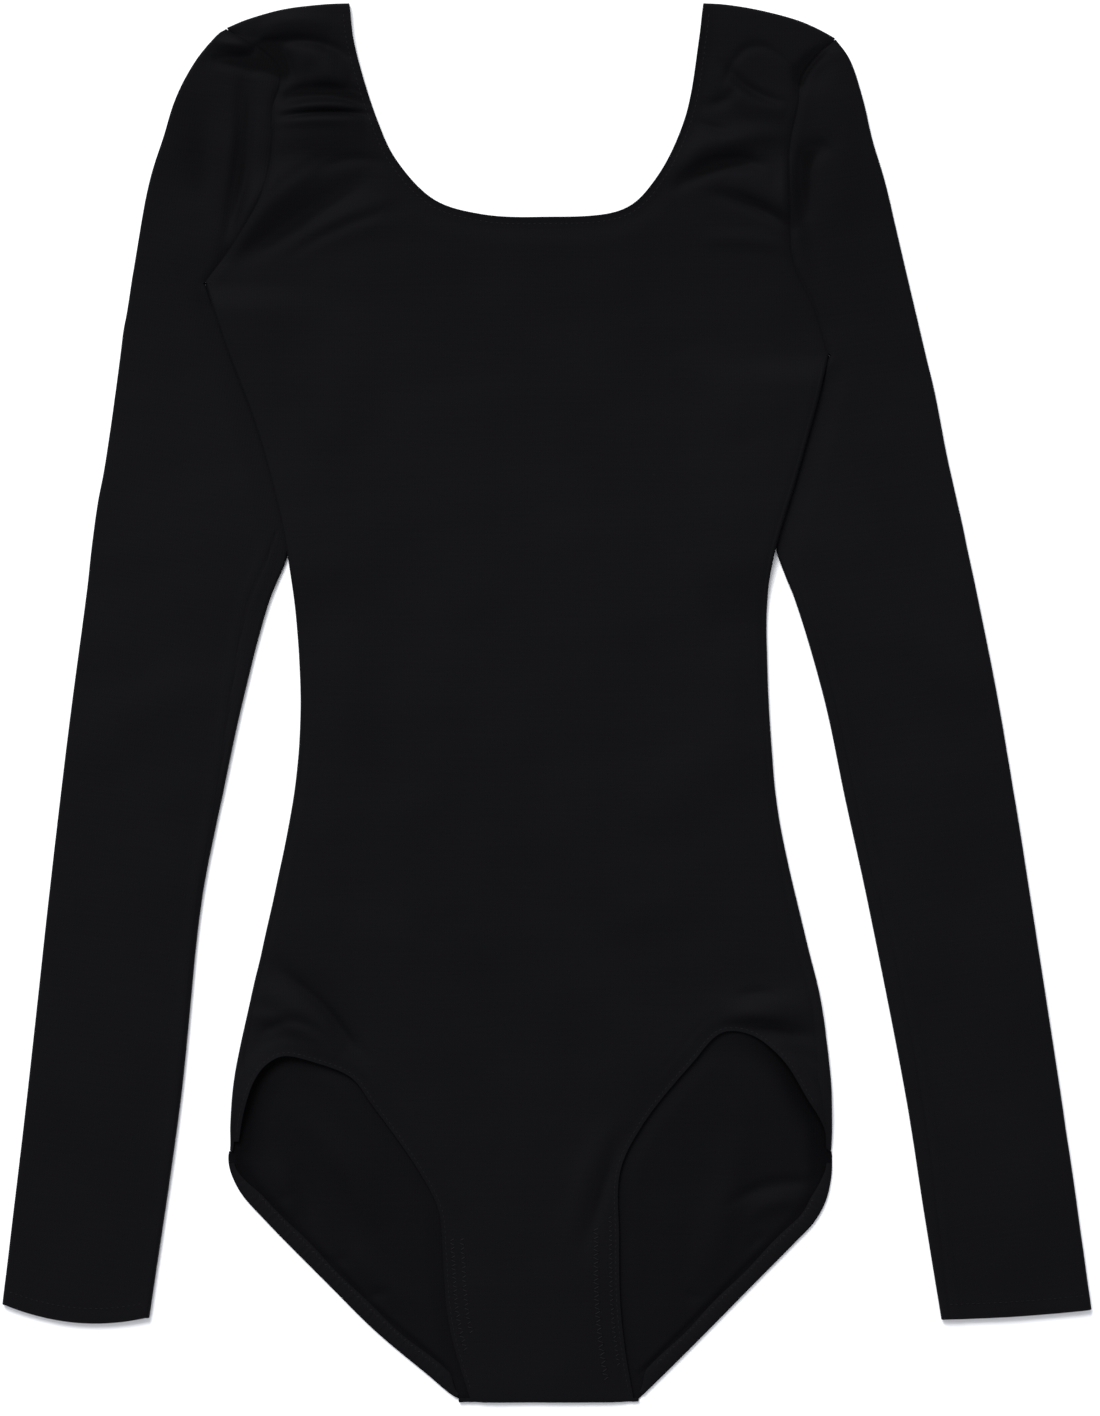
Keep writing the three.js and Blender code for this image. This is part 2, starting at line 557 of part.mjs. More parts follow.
function buildBack() {
  const sheet = new Sheet();
  const sides = Object.fromEntries(Object.entries(halves).map(([name, half]) => (
    [name, bodySide(half, 0, () => EDGE)])));
  const columns = 2 * FACETS.strap + FACETS.scoop;
  const between = (left, right) => range(columns + 1).map((i) => (
    left.clone().lerp(right, i / columns)));
  const bottom = between(sides.left.edge[0], sides.right.edge[0]);
  const { torso, straps } = bodyBlocks(bottom, sides);
  sheet.patch(raiseGrid(torso, backHeight));
  for (const { grid, outward } of straps) {
    const rows = raiseGrid(grid, backHeight);
    sheet.patch([...rows, ...shoulderTurn(rows.at(-1), outward, 1)]);
  }

  const seatSide = (name) => {
    const { backLeg } = halves[name];
    const end = backLeg.shareAtLevel(CROTCH.y + EDGE);
    const straight = backLeg.stretch(end, HIP_BEND, FACETS.seat);
    const bend = backLeg.stretch(HIP_BEND, 0, FACETS.hip).slice(1, -1);
    return [...straight, ...bend, sides[name].edge[0]];
  };
  const [left, right] = [seatSide('left'), seatSide('right')];
  const base = between(left[0], right[0]);
  const seat = raiseGrid(fill(base, bottom, left, right), backHeight);

  const down = new THREE.Vector2(0, -1);
  const turned = seat[0].map((lower) => {
    const flat = new THREE.Vector2(lower.x, lower.y);
    const flap = flat.clone().setY(CROTCH.y + CROTCH.roll);
    const upper = raise(flat, frontHeight(flat));
    return [raise(flap, frontHeight(flap)), upper, ...turn(upper, lower, down), lower];
  });
  const crotchRows = turned[0].map((_, i) => turned.map((column) => column[i]));
  sheet.patch([...crotchRows, ...seat.slice(1)]);

  for (const [name, half] of Object.entries(halves)) {
    const { outline, edge } = sides[name];
    const ends = moveAside(outline, outline.map(({ y }) => half.rollAt(y) * half.inward));
    const rows = edge.map((flat, i) => {
      const outward = outline[i].clone().sub(flat).normalize();
      const [lower, upper] = [raise(flat, backHeight(flat)), raise(flat, frontHeight(flat))];
      const end = raise(ends[i], frontHeight(ends[i]));
      const row = [end, upper, ...turn(upper, lower, outward), lower];
      return name === 'left' ? row : row.reverse();
    });
    sheet.patch(rows);
  }
  return sheet.wall(CLOTH);
}

// Rows of a sleeve from the cuff to the shoulder: the outline and the inset of both edges.
// Above the underarm the inner edge is the armhole, which stays open.
function sleeveEdges(half, name) {
  const stations = (which) => {
    const shares = SLEEVE[name].map((section) => half[which].shareAtLevel(section[which][1]));
    return shares.slice(1).reduce((places, share, k) => {
      const long = Math.abs(share - shares[k]) > LONG_SECTION;
      const steps = long ? FACETS.sleeveLong : 1;
      return [...places, ...half[which].stretch(shares[k], share, steps).slice(1)];
    }, [half[which].at(0)]);
  };
  const steps = FACETS.armholeLow + FACETS.armholeHigh;
  const cap = half.cap.stretch(CAP_STRETCH.from, CAP_STRETCH.to, steps);
  const outer = [...stations('outer'), ...cap];
  const inner = stations('inner');
  return {
    outer,
    outerEdge: moveAside(outer, EDGE * half.inward),
    inner,
    innerEdge: [...moveAside(inner, -EDGE * half.inward), ...armholeEdge(half, -1)],
  };
}

function buildSleeve(name) {
  const sheet = new Sheet();
  const half = halves[name];
  const { outer, outerEdge, inner, innerEdge } = sleeveEdges(half, name);
  const rows = outerEdge.map((start, i) => {
    const cuffShare = Math.max(0, 1 - i / (inner.length - 1));
    const flats = range(FACETS.sleeve + 1).map((j) => {
      const share = j / FACETS.sleeve;
      const flat = start.clone().lerp(innerEdge[i], share);
      flat.y -= CUFF_BOW[name] * bow(share) * cuffShare ** CUFF_FADE;
      return flat;
    });
    const upper = flats.map((flat) => raise(flat, sleeveHeight(half, flat)));
    const lower = flats.map((flat) => raise(flat, UNDER));
    const outward = outer[i].clone().sub(start).normalize();
    const outerTurn = [upper[0], ...turn(upper[0], lower[0], outward), lower[0]];
    const strip = { upper, lower, outerTurn };
    if (i < inner.length) {
      const away = inner[i].clone().sub(innerEdge[i]).normalize();
      const [high, low] = [upper.at(-1), lower.at(-1)];
      strip.innerTurn = [high, ...turn(high, low, away), low];
    }
    return strip;
  });
  const flip = name === 'left' ? (row) => row : (row) => [...row].reverse();
  sheet.patch(rows.map(({ upper }) => flip(upper)));
  sheet.patch(rows.map(({ lower }) => flip([...lower].reverse())));
  sheet.patch(rows.map(({ outerTurn }) => flip([...outerTurn].reverse())));
  sheet.patch(rows.filter(({ innerTurn }) => innerTurn).map(({ innerTurn }) => flip(innerTurn)));
  return sheet.wall(CLOTH);
}

function buildLegHem(name) {
  const sheet = new Sheet();
  const half = halves[name];
  const edge = half.backLeg.stretch(LEG_HEM.from, LEG_HEM.to, FACETS.hem);
  const lanes = [LEG_HEM.inset, LEG_HEM.inset + LEG_HEM.width / 2, LEG_HEM.inset + LEG_HEM.width]
    .map((distance) => moveAside(edge, -distance * half.inward));
  const height = UNDER + CLOTH + SEAM_GAP;
  const rows = edge.map((_, i) => lanes.map((lane) => raise(lane[i], height)));
  sheet.patch(name === 'left' ? rows.reverse() : rows);
  return sheet.wall(CLOTH);
}

function addPiece(group, name, geometry) {
  const jersey = new THREE.MeshStandardMaterial({ color: 0x151518, roughness: 0.85, metalness: 0 });
  const mesh = new THREE.Mesh(geometry, jersey);
  mesh.name = name;
  group.add(mesh);
}

const leotard = new THREE.Group();
addPiece(leotard, 'front', buildFront());
addPiece(leotard, 'back', buildBack());
addPiece(leotard, 'sleeve_left', buildSleeve('left'));
addPiece(leotard, 'sleeve_right', buildSleeve('right'));
addPiece(leotard, 'leg_hem_left', buildLegHem('left'));
addPiece(leotard, 'leg_hem_right', buildLegHem('right'));

export default leotard;
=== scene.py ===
# Long-sleeve leotard of black stretch jersey, laid flat on its back with the front up.
# Sizes are in millimetres and turned to metres where a mesh is made. +X is the right of
# someone looking down at the front, +Y runs to the shoulders and +Z is up.
import math
from collections import namedtuple

import bpy
import numpy as np
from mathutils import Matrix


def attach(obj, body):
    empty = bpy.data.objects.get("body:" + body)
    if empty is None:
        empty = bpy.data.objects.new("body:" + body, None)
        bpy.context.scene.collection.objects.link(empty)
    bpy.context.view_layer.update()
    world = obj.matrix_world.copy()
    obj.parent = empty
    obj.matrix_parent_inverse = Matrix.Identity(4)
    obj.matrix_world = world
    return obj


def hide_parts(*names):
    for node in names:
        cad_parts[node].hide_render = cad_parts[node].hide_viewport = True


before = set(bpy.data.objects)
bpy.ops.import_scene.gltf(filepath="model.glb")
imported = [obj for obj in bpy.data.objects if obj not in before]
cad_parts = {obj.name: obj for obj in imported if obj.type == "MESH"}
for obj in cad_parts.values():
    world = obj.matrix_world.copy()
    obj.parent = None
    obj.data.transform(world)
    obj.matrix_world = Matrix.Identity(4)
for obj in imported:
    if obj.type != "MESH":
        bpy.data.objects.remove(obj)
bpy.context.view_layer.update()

MM = 0.001

# Walls and layers, as in the solids
CLOTH = 1.0
SEAM_GAP = 0.1
TURN = 1.3
UNDER = CLOTH / 2
UPPER = UNDER + 2 * TURN
EDGE = TURN + CLOTH / 2
LEAST_UPPER = UNDER + CLOTH + 0.25
MIDDLE = (UNDER + UPPER) / 2
SHOULDER_TURN = 1.45
RIM = 0.2  # how far a cut edge rounds out
LEAST_FACING = 0.6  # keeps a wall from growing too thick at a sharp bend

# Down the body's outline, with how far the back comes round onto the front there
SideRow = namedtuple("SideRow", "x y roll")
BODY_SIDE = {
    "left": [
        (-166, 204, 2.4), (-157, 176, 2.4), (-140, 130, 2.4),
        (-126, 72, 2.4), (-120, 12, 2.4), (-122, -37, 2.4),
        (-133, -95, 2.4), (-144, -144, 2.6), (-152, -183, 4.0),
        (-154.5, -217, 1.9),
    ],
    "right": [
        (137, 169, 2.4), (131, 144, 2.4), (121, 108, 2.4),
        (110, 70, 2.4), (107, 45, 2.4), (109, -18, 2.4),
        (113, -57, 2.6), (126, -115, 5.6), (133, -144, 4.6),
        (138, -183, 6.2), (138.4, -196, 4.2), (138.5, -207, 2.3),
        (138.5, -217, 1.9),
    ],
}
ARMHOLE = {
    "left": [(-166, 204), (-148, 229), (-137, 250), (-133, 272), (-133, 289), (-129, 304),
             (-134, 313), (-155.5, 328)],
    "right": [(137, 169), (130, 192), (120, 214), (118, 236), (118, 270), (122, 290),
              (124, 304), (130, 313), (140, 323)],
}
SHOULDER = {
    "left": [(-155.5, 328), (-146, 332), (-128, 337), (-108, 339.5), (-96, 340)],
    "right": [(76, 340), (85.5, 339.5), (101.6, 337), (121, 332), (130.7, 328), (140, 323)],
}
NECKLINE = [(-96, 340), (-94, 322), (-82.8, 284), (-73.4, 264), (-55, 244.6), (-33, 237.6),
            (-3.4, 236), (37.5, 240), (52.9, 254.6), (67.1, 284), (74, 322.5), (76, 340)]
FRONT_LEG = {
    "left": [(-150, -215), (-147, -198), (-142, -183), (-136, -175), (-128, -171),
             (-113, -174), (-95, -181.5), (-84.6, -195), (-62, -227), (-52.5, -246),
             (-50.5, -266), (-48.6, -293), (-45.7, -309), (-36.5, -339.5)],
    "right": [(136, -219), (134.6, -206), (126, -191), (114.7, -173), (99.6, -161),
              (85, -159.7), (70, -175), (46, -205), (35.5, -227), (35, -260), (35.5, -291),
              (38, -315), (42.3, -339.5)],
}
BACK_LEG = {
    "left": [(-152.7, -217), (-154.1, -217.5), (-154.6, -222), (-153.4, -228), (-148.4, -238),
             (-136.6, -251.3), (-105, -283.3), (-83.4, -304.7), (-57.8, -326.1),
             (-45.5, -336.2), (-38.4, -339.5)],
    "right": [(136.7, -217), (138.0, -217.5), (138.4, -222), (138, -230), (135.4, -241.5),
              (129.8, -251.8), (120.2, -262), (99.1, -283.3), (67.4, -315.4), (46, -336.3),
              (42.3, -339.5)],
}
CROTCH_LEVEL = -339.5
CROTCH_ROLL = 2.2

# Where the body's blocks meet, as shares of a line's length
SCOOP = (0.258, 0.745)
ARMHOLE_START = {"body": 0.02, "sleeve": 0.007}
STRAP_FOOT = 0.44
ARMHOLE_END = 0.988
Wing = namedtuple("Wing", "tip top crotch level")
FRONT_WING = {"left": Wing(0.01, 0.165, 0.4, -172), "right": Wing(0.01, 0.147, 0.455, -179)}

# Points across from each other on a sleeve's outer and inner edge, from the cuff up
SLEEVE = {
    "left": [
        ((-264.4, -291.6), (-193, -298.2)), ((-252.7, -193), (-177.8, -193)),
        ((-242, -95.5), (-167.5, -95.5)), ((-236.3, -46), (-157.7, -46)),
        ((-230.4, 2), (-147.4, 2)), ((-224, 50), (-134.6, 50)),
        ((-220.6, 79.5), (-125.4, 72)), ((-218, 98), (-124.6, 90)),
        ((-215, 113.5), (-127.5, 113.5)), ((-210, 147.5), (-134.5, 137)),
        ((-207, 170), (-144.5, 159)), ((-205.6, 181.5), (-154.5, 178)),
        ((-204, 190), (-159.6, 190)), ((-201.5, 206), (-165.9, 204)),
    ],
    "right": [
        ((264.4, -294), (191.5, -299)), ((257, -240.6), (182, -240.6)),
        ((250, -193), (174.6, -193)),
        ((235, -95.5), (155.5, -95.5)), ((227.2, -46), (144.7, -46)),
        ((219, 2), (134.6, 2)), ((209.5, 50), (120.5, 50)),
        ((204, 76), (111, 74)), ((201.5, 88), (109.9, 86)),
        ((199, 99), (111.8, 99)), ((195, 117), (116.2, 116)),
        ((192, 132), (121.5, 131)), ((190, 143), (126.6, 144)),
        ((187.5, 155), (132.4, 155)), ((184, 169), (136.9, 169)),
    ],
}
SLEEVE_CAP = {
    "left": [(-201.5, 206), (-193, 254), (-187, 274), (-181, 293), (-170, 313),
             (-162, 322.5), (-155.5, 328)],
    "right": [(184, 169), (172, 220), (164, 254), (158, 274), (153.6, 293), (147, 313),
              (140, 323)],
}
CAP_STRETCH = (0.006, 0.996)
# How far the middle of a cuff hangs below its ends, and how fast that fades up the sleeve
CUFF_BOW = {"left": 5.4, "right": 0.8}
CUFF_FADE = 3
# The seam under the arm, where it has come round onto the upper face
SLEEVE_SEAM = {
    "left": [(-131, 84), (-136, 70), (-145, 48), (-152, 11), (-160, -46), (-169, -95.5),
             (-178.5, -193), (-192, -298)],
    "right": [(115, 84), (121, 62), (137.5, 11.4), (157, -76), (174, -144), (186, -217),
              (191.5, -262), (196, -298)],
}

# The body stands up where a sleeve passes beneath it, and the sleeve lies flatter there
RISE = 2.8
PRESS = 1.2
SLOPE = 14
PASS_LEVELS = (36, 72)
PASS_WIDTH = (13, 66)
SLEEVE_PASS_LEVELS = (38, 65)
SLEEVE_PASS_WIDTH = (1, 14)
# The neck edge lies lower than the cloth round it
NECK_FALL = 1.2
NECK_FALL_WIDTH = 14
BELOW_SHOULDER = (-330, -300)
# The front's leg edge comes down onto the back, but stands off it beside the hip. A row gives
# a share of the edge, from the hip round to the crotch, and how far it comes down there.
LegFall = namedtuple("LegFall", "share depth")
LEG_FALL = [LegFall(0, 1.25), LegFall(0.04, -0.2), LegFall(0.09, -2.4), LegFall(0.17, -1.6),
            LegFall(0.26, 0.6), LegFall(0.4, 1.25), LegFall(1, 1.25)]
LEG_FALL_WIDTH = 12
# A sleeve thins to its shoulder point
POINT_FALL = 1.25
POINT_FALL_WIDTH = 9
# The seam allowance under a sleeve's seam shows as a low ridge on both sides of it
ALLOWANCE = namedtuple("Allowance", "rise aside width")(0.35, 2.6, 2.2)
# The cloth dips towards its seams
Dip = namedtuple("Dip", "depth width")
ARMHOLE_DIP = Dip(0.7, 2.0)
SIDE_DIP = Dip(0.35, 1.4)

# A fold rises along a bent line and fades towards both ends. A crease has a negative rise.
Fold = namedtuple("Fold", "start end bend rise width")
FOLD_END = 0.04
FOLD_FADE = 0.8
FOLDS = [
    ((-128, 284), (-88, 282), 2, 2.6, 8),
    ((-150, 317), (-121, 306), 3, -1.2, 7),
    ((-140, 327), (-108, 318), 4, 2.0, 8),
    ((-157, 217), (-110, 262), 5, 3.4, 9),
    ((-158, 208), (-80, 256), 4, -1.3, 7),
    ((-118, 226), (-72, 238), 3, 1.4, 9),
    ((58, 254), (108, 266), 10, 2.7, 7),
    ((60, 258), (106, 265), 4, -1.2, 7),
    ((92, 258), (121, 232), 3, 2.6, 9),
    ((86, 302), (118, 290), -5, 1.8, 8),
    ((138, 316), (121, 300), 3, -1.2, 6),
    ((-140, -138), (-100, -170), 3, 3.0, 8),
    ((-131, -126), (-89, -168), 4, -1.2, 7),
    ((86, -150), (130, -150), 2, 2.8, 8),
    ((84, -161), (132, -164), 2, -1.2, 6),
    ((-98, 196), (-106, 120), 6, 1.3, 15),
    ((68, 172), (92, 124), 5, 1.5, 13),
    ((-36, -24), (30, 4), 6, 1.0, 18),
    ((44, -62), (84, 4), -9, 1.2, 16),
    ((-84, -68), (-50, -46), 3, 0.9, 15),
    ((-142, 290), (-152, 238), -3, 1.2, 8),
    ((-182, 300), (-178, 236), 3, -1.2, 12),
    ((137, 300), (141, 226), 4, 1.2, 11),
    ((-232, -30), (-166, 10), 4, 1.2, 15),
    ((158, 40), (212, -6), 5, 1.2, 15),
]
# Narrower creases that ride on the large folds
CREASES = [
    ((-128, 294), (-85, 291), 4.5, -4.4, 3.6),
    ((-128, 284.8), (-84, 285.8), 1.5, -2.8, 1.8),
    ((-128, 288), (-88, 288.4), 2, 1.8, 1.8),
    ((-132, 281.2), (-94, 282.4), 1, 0.9, 2.6),
    ((-134, 272), (-88, 273), 2, 1.5, 7),
    ((-116, 304), (-96, 300), 2, 1.6, 7),
    ((-141, 321), (-127, 303), 3, -4.8, 4.4),
    ((-162, 322), (-138, 319), -1, 2.8, 3.4),
    ((-136, 330), (-104, 328), 3, 1.6, 4),
    ((-163, 312.5), (-124, 306), 1, -3.4, 3.2),
    ((-142, 317), (-97, 314.5), 6, -2.6, 3.2),
    ((-124, 312), (-102, 308), 3, 1.4, 6),
    ((-158, 214), (-84, 260), -4, -1.2, 5),
    ((-150, 226), (-100, 268), 6, -0.7, 3.2),
    ((-124, 218), (-68, 241), 3, -1.2, 3.2),
    ((-112, 258), (-78, 262), 4, -1.0, 3.0),
    ((62, 250.5), (104, 262), 5, -3.8, 3.6),
    ((84, 272), (116, 275), 2, 2.0, 5),
    ((80, 247.5), (118, 230.5), 3, -2.8, 3.0),
    ((76, 225), (117, 221), 2, 1.0, 4),
    ((86, 310), (116, 291), -3.5, -2.2, 2.8),
    ((86, 302), (119, 308), 14, -0.9, 2.6),
    ((136, 317), (122, 298), -3.5, -3.0, 3.0),
    ((119, 309), (123.5, 299), 1, -1.4, 2.4),
    ((92, 298), (76, 290), 2, -1.2, 3.0),
    ((90, 277), (72, 283), 1, -0.8, 2.4),
    ((-133, -126), (-87, -173), 3, -2.0, 3.0),
    ((-139, -160), (-106, -164), 8, -1.6, 3.0),
    ((-146, -152), (-118, -160), 3, 1.3, 3.6),
    ((-122, -138), (-104, -158), 2, 0.9, 3.4),
    ((92, -142.6), (112, -141.2), 1, -1.5, 2.8),
    ((84, -157), (129, -161), 2, -1.9, 2.8),
    ((88, -151.6), (116, -152), 1, 1.2, 2.6),
    ((112, -168), (131, -176), 2, -1.0, 3.0),
    ((-146, 304), (-157, 216), 3, -3.6, 4.2),
    ((-166, 296), (-167, 240), -2, -1.2, 9),
    ((126, 270), (124.5, 234), 0, -2.8, 4.5),
    ((116, 266), (115.5, 234), 0, 1.8, 4),
    ((123, 261), (137, 272), 1, -2.0, 4.5),
    ((127, 245), (134, 206), -2, -0.8, 5),
    ((37, -208), (19, -264), -2, -1.9, 3.2),
    ((29, -205), (10, -264), -3, 1.1, 5),
    ((-58, -236), (-34, -276), 3, -0.8, 6),
    ((-106, 60), (-96, -30), 4, 0.9, 10),
    ((92, 40), (96, -50), -4, 0.9, 10),
    ((-20, 190), (14, 120), 7, 0.8, 14),
    ((-60, 120), (-30, 40), -6, 0.7, 14),
    ((30, -110), (76, -96), 4, 0.8, 11),
    ((-100, -112), (-58, -120), 3, 0.8, 10),
]
# Creases of the back's inner face, seen through the leg openings
BACK_CREASES = [
    ((-118, -200), (-80, -256), 3, 2.2, 8),
    ((-133, -222), (-124, -250), 1, 1.3, 4),
    ((-122, -222), (-113, -252), 1, -1.2, 4),
    ((-94, -262), (-66, -292), -3, 1.2, 6),
    ((-89, -291), (-76, -285), 1, -0.8, 2.6),
    ((-104, -275), (-97, -268), 1, -0.6, 2.6),
    ((-130, -243), (-124, -238), 1, -0.6, 2.6),
    ((92, -204), (72, -288), 4, 2.2, 9),
    ((88, -243), (130, -233), 4, -1.7, 3),
    ((96, -251), (126, -242), 4, 1.2, 4),
    ((52, -236), (60, -296), 3, 1.0, 8),
    ((98, -266), (106, -258), 1, -0.7, 2.8),
    ((74, -290), (68, -284), 1, -0.6, 2.6),
]
# Slow unevenness of soft cloth that was smoothed by hand: wavelengths and height
Ripple = namedtuple("Ripple", "across along turn height")
RIPPLES = [Ripple(71, 113, 0.4, 0.20), Ripple(47, 83, -0.7, 0.14), Ripple(29, 41, 1.1, 0.08)]

# Turned and stitched edges: width of the band, how far it stands up
NECK_BAND = 4.0
NECK_BAND_RISE = 0.21
LEG_BAND = 7.0
CUFF_BAND = 8.0
BAND_RISE = 0.35
BAND_STEP = (-0.8, 1.8)
BEAD = 0.32
BEAD_WIDTH = 1.1
ROW_IN_BAND = 0.8  # how far a band's stitches are from its inner end

# Rows of stitches beside the front's leg edges; the ones by the crotch run to and fro
Row = namedtuple("Row", "inset start end spacing length width slant proud")
LEG_ROWS = {
    "left": [Row(1.6, 0.03, 0.97, 2.6, 1.9, 0.36, 0.15, 0.0),
             Row(4.8, 0.69, 0.9, 2.0, 3.0, 0.5, 1.1, 0.05),
             Row(9.6, 0.69, 0.87, 2.2, 3.0, 0.5, 1.1, 0.05)],
    "right": [Row(1.6, 0.1, 0.97, 2.6, 1.9, 0.36, 0.15, 0.0),
              Row(4.0, 0.68, 0.93, 2.2, 2.6, 0.46, 1.05, 0.05),
              Row(11.2, 0.7, 0.95, 2.0, 3.8, 0.52, 1.1, 0.06)],
}

LEG_HEM = namedtuple("LegHem", "width inset start end")(7, 0.4, 0.045, 0.965)
HEM_THICKNESS = 0.9
HEM_TAPER = {"start": 0.16, "end": 0.07, "least": 0.3}
HEM_LANES = 10
HEM_CROWN = 0.5
HEM_UNEVEN = 0.35
GATHER = 0.09
HEM_STITCHES = {"from_start": 0.13, "from_end": 0.1, "inset": 1.2, "height": 2.3}
# Inside the hem the back rises from a groove, this far in from the edge and this high,
# where it shows through a leg opening
HEM_GROOVE = (8.2, 11.2)
INNER_LOOSE = 1.1
PAST_LEG_EDGE = (1, 9)
OPENING_LEVELS = (165, 185)
# Little light gets into the folded hips: how far in from the leg edge and from the outline,
# how far along the leg edge as a share, and from what level up
UNDER_LEG_EDGE = (1, 15)
UNDER_OUTLINE = (3, 16)
OFF_OUTLINE = (1, 4)
LEG_EDGE_STRETCH = (0.16, 0.34)
HIP_LEVELS = (-256, -222)
BELOW_HIP = (160, 190)
# Nor does it get into a crease that is deeper than the layers leave room for
DEEP_CREASE = (0.7, 3.0)

# How many facets go round a turned edge, and how many samples a knot of a line gets
ROUND = 10
SAMPLES = 16


def smoothstep(values, low, high):
    share = np.clip((np.asarray(values, float) - low) / (high - low), 0, 1)
    return share * share * (3 - 2 * share)


class SmoothLine:
    """A smooth line through a few points, walked by its share of the length."""

    def __init__(self, points):
        knots = np.array(points, float)
        ends = [2 * knots[0] - knots[1]], [2 * knots[-1] - knots[-2]]
        chain = np.vstack([ends[0], knots, ends[1]])
        steps = np.sqrt(np.linalg.norm(np.diff(chain, axis=0), axis=1))
        samples = []
        for k in range(len(knots) - 1):
            p0, p1, p2, p3 = chain[k:k + 4]
            d0, d1, d2 = steps[k:k + 3]
            leave = ((p1 - p0) / d0 - (p2 - p0) / (d0 + d1) + (p2 - p1) / d1) * d1
            arrive = ((p2 - p1) / d1 - (p3 - p1) / (d1 + d2) + (p3 - p2) / d2) * d1
            t = (np.arange(SAMPLES) / SAMPLES)[:, None]
            cubic = 2 * p1 - 2 * p2 + leave + arrive
            square = -3 * p1 + 3 * p2 - 2 * leave - arrive
            samples.append(p1 + t * (leave + t * (square + t * cubic)))
        self.samples = np.vstack([*samples, knots[-1:]])
        gaps = np.linalg.norm(np.diff(self.samples, axis=0), axis=1)
        self.lengths = np.concatenate([[0], np.cumsum(gaps)])
        self.length = self.lengths[-1]

    def at(self, shares):
        along = np.asarray(shares, float) * self.length
        return np.stack([np.interp(along, self.lengths, self.samples[:, k]) for k in (0, 1)], -1)

    def stretch(self, start, end, steps):
        return self.at(np.linspace(start, end, steps + 1))

    def share_at_level(self, y):
        low, high = self.samples[:-1, 1], self.samples[1:, 1]
        crossings = np.nonzero((low - y) * (high - y) <= 0)[0]
        k = crossings[-1]
        step = (y - low[k]) / (high[k] - low[k])
        return (self.lengths[k] + step * (self.lengths[k + 1] - self.lengths[k])) / self.length

    def x_at_level(self, y):
        order = np.argsort(self.samples[:, 1])
        return np.interp(y, self.samples[order, 1], self.samples[order, 0])


def from_line(points, flat):
    """Distance of each place from a broken line, with its sign, and how far along it lies."""
    starts, ways = points[:-1], np.diff(points, axis=0)
    lengths = np.linalg.norm(ways, axis=1)
    covered = np.concatenate([[0], np.cumsum(lengths)])
    nearest = np.full(len(flat), 1e9)
    side = np.ones(len(flat))
    along = np.zeros(len(flat))
    for start, way, length, before in zip(starts, ways, lengths, covered):
        away = flat - start
        share = np.clip(away @ way / length ** 2, 0, 1)
        distance = np.linalg.norm(away - share[:, None] * way, axis=1)
        closer = distance < nearest
        nearest[closer] = distance[closer]
        side[closer] = np.sign(way[0] * away[closer, 1] - way[1] * away[closer, 0])
        along[closer] = before + share[closer] * length
    return nearest * side, along


def unit(vectors):
    return vectors / np.maximum(np.linalg.norm(vectors, axis=1), 1e-9)[:, None]


def move_aside(points, distances):
    """Points moved to the right of the way they are walked in, each by its own distance."""
    ways = unit(np.gradient(points, axis=0))
    aside = np.stack([ways[:, 1], -ways[:, 0]], -1)
    return points + aside * np.reshape(distances, (-1, 1))


def shares_of(points):
    lengths = np.concatenate([[0], np.cumsum(np.linalg.norm(np.diff(points, axis=0), axis=1))])
    return lengths / lengths[-1]


def fill(bottom, top, left, right):
    """A grid of points that fills four edges which meet at their ends, row 0 at the bottom."""
    u = ((shares_of(bottom) + shares_of(top)) / 2)[None, :, None]
    v = ((shares_of(left) + shares_of(right)) / 2)[:, None, None]
    across = (1 - u) * left[:, None] + u * right[:, None]
    upward = (1 - v) * bottom[None] + v * top[None]
    low_corners = (1 - u) * bottom[0] + u * bottom[-1]
    high_corners = (1 - u) * top[0] + u * top[-1]
    return across + upward - ((1 - v) * low_corners + v * high_corners)


class Half:
    """The lines of one side of the garment."""

    def __init__(self, name):
        self.name = name
        self.inward = 1 if name == "left" else -1
        self.rolls = [SideRow(*row) for row in BODY_SIDE[name]]
        self.side = SmoothLine([(row.x, row.y) for row in self.rolls])
        self.armhole = SmoothLine(ARMHOLE[name])
        self.shoulder = SmoothLine(SHOULDER[name])
        self.front_leg = SmoothLine(FRONT_LEG[name])
        self.back_leg = SmoothLine(BACK_LEG[name])
        self.outer = SmoothLine([section[0] for section in SLEEVE[name]])
        self.inner = SmoothLine([section[1] for section in SLEEVE[name]])
        self.cap = SmoothLine(SLEEVE_CAP[name])
        self.seam = SmoothLine(SLEEVE_SEAM[name])
        self.underarm = ARMHOLE[name][0][1]
        self.wing = FRONT_WING[name]

    def roll_at(self, y):
        levels = [row.y for row in reversed(self.rolls)]
        return np.interp(y, levels, [row.roll for row in reversed(self.rolls)])

    def inside_of(self, flat):
        return (flat[:, 0] - self.side.x_at_level(flat[:, 1])) * self.inward


neckline = SmoothLine(NECKLINE)
HALVES = {name: Half(name) for name in ("left", "right")}


def lift(flat):
    total = np.zeros(len(flat))
    for half in HALVES.values():
        y = flat[:, 1]
        along = smoothstep(half.underarm - y, 0, SLOPE) * smoothstep(y, *PASS_LEVELS)
        total += RISE * along * (1 - smoothstep(half.inside_of(flat), *PASS_WIDTH))
    return total


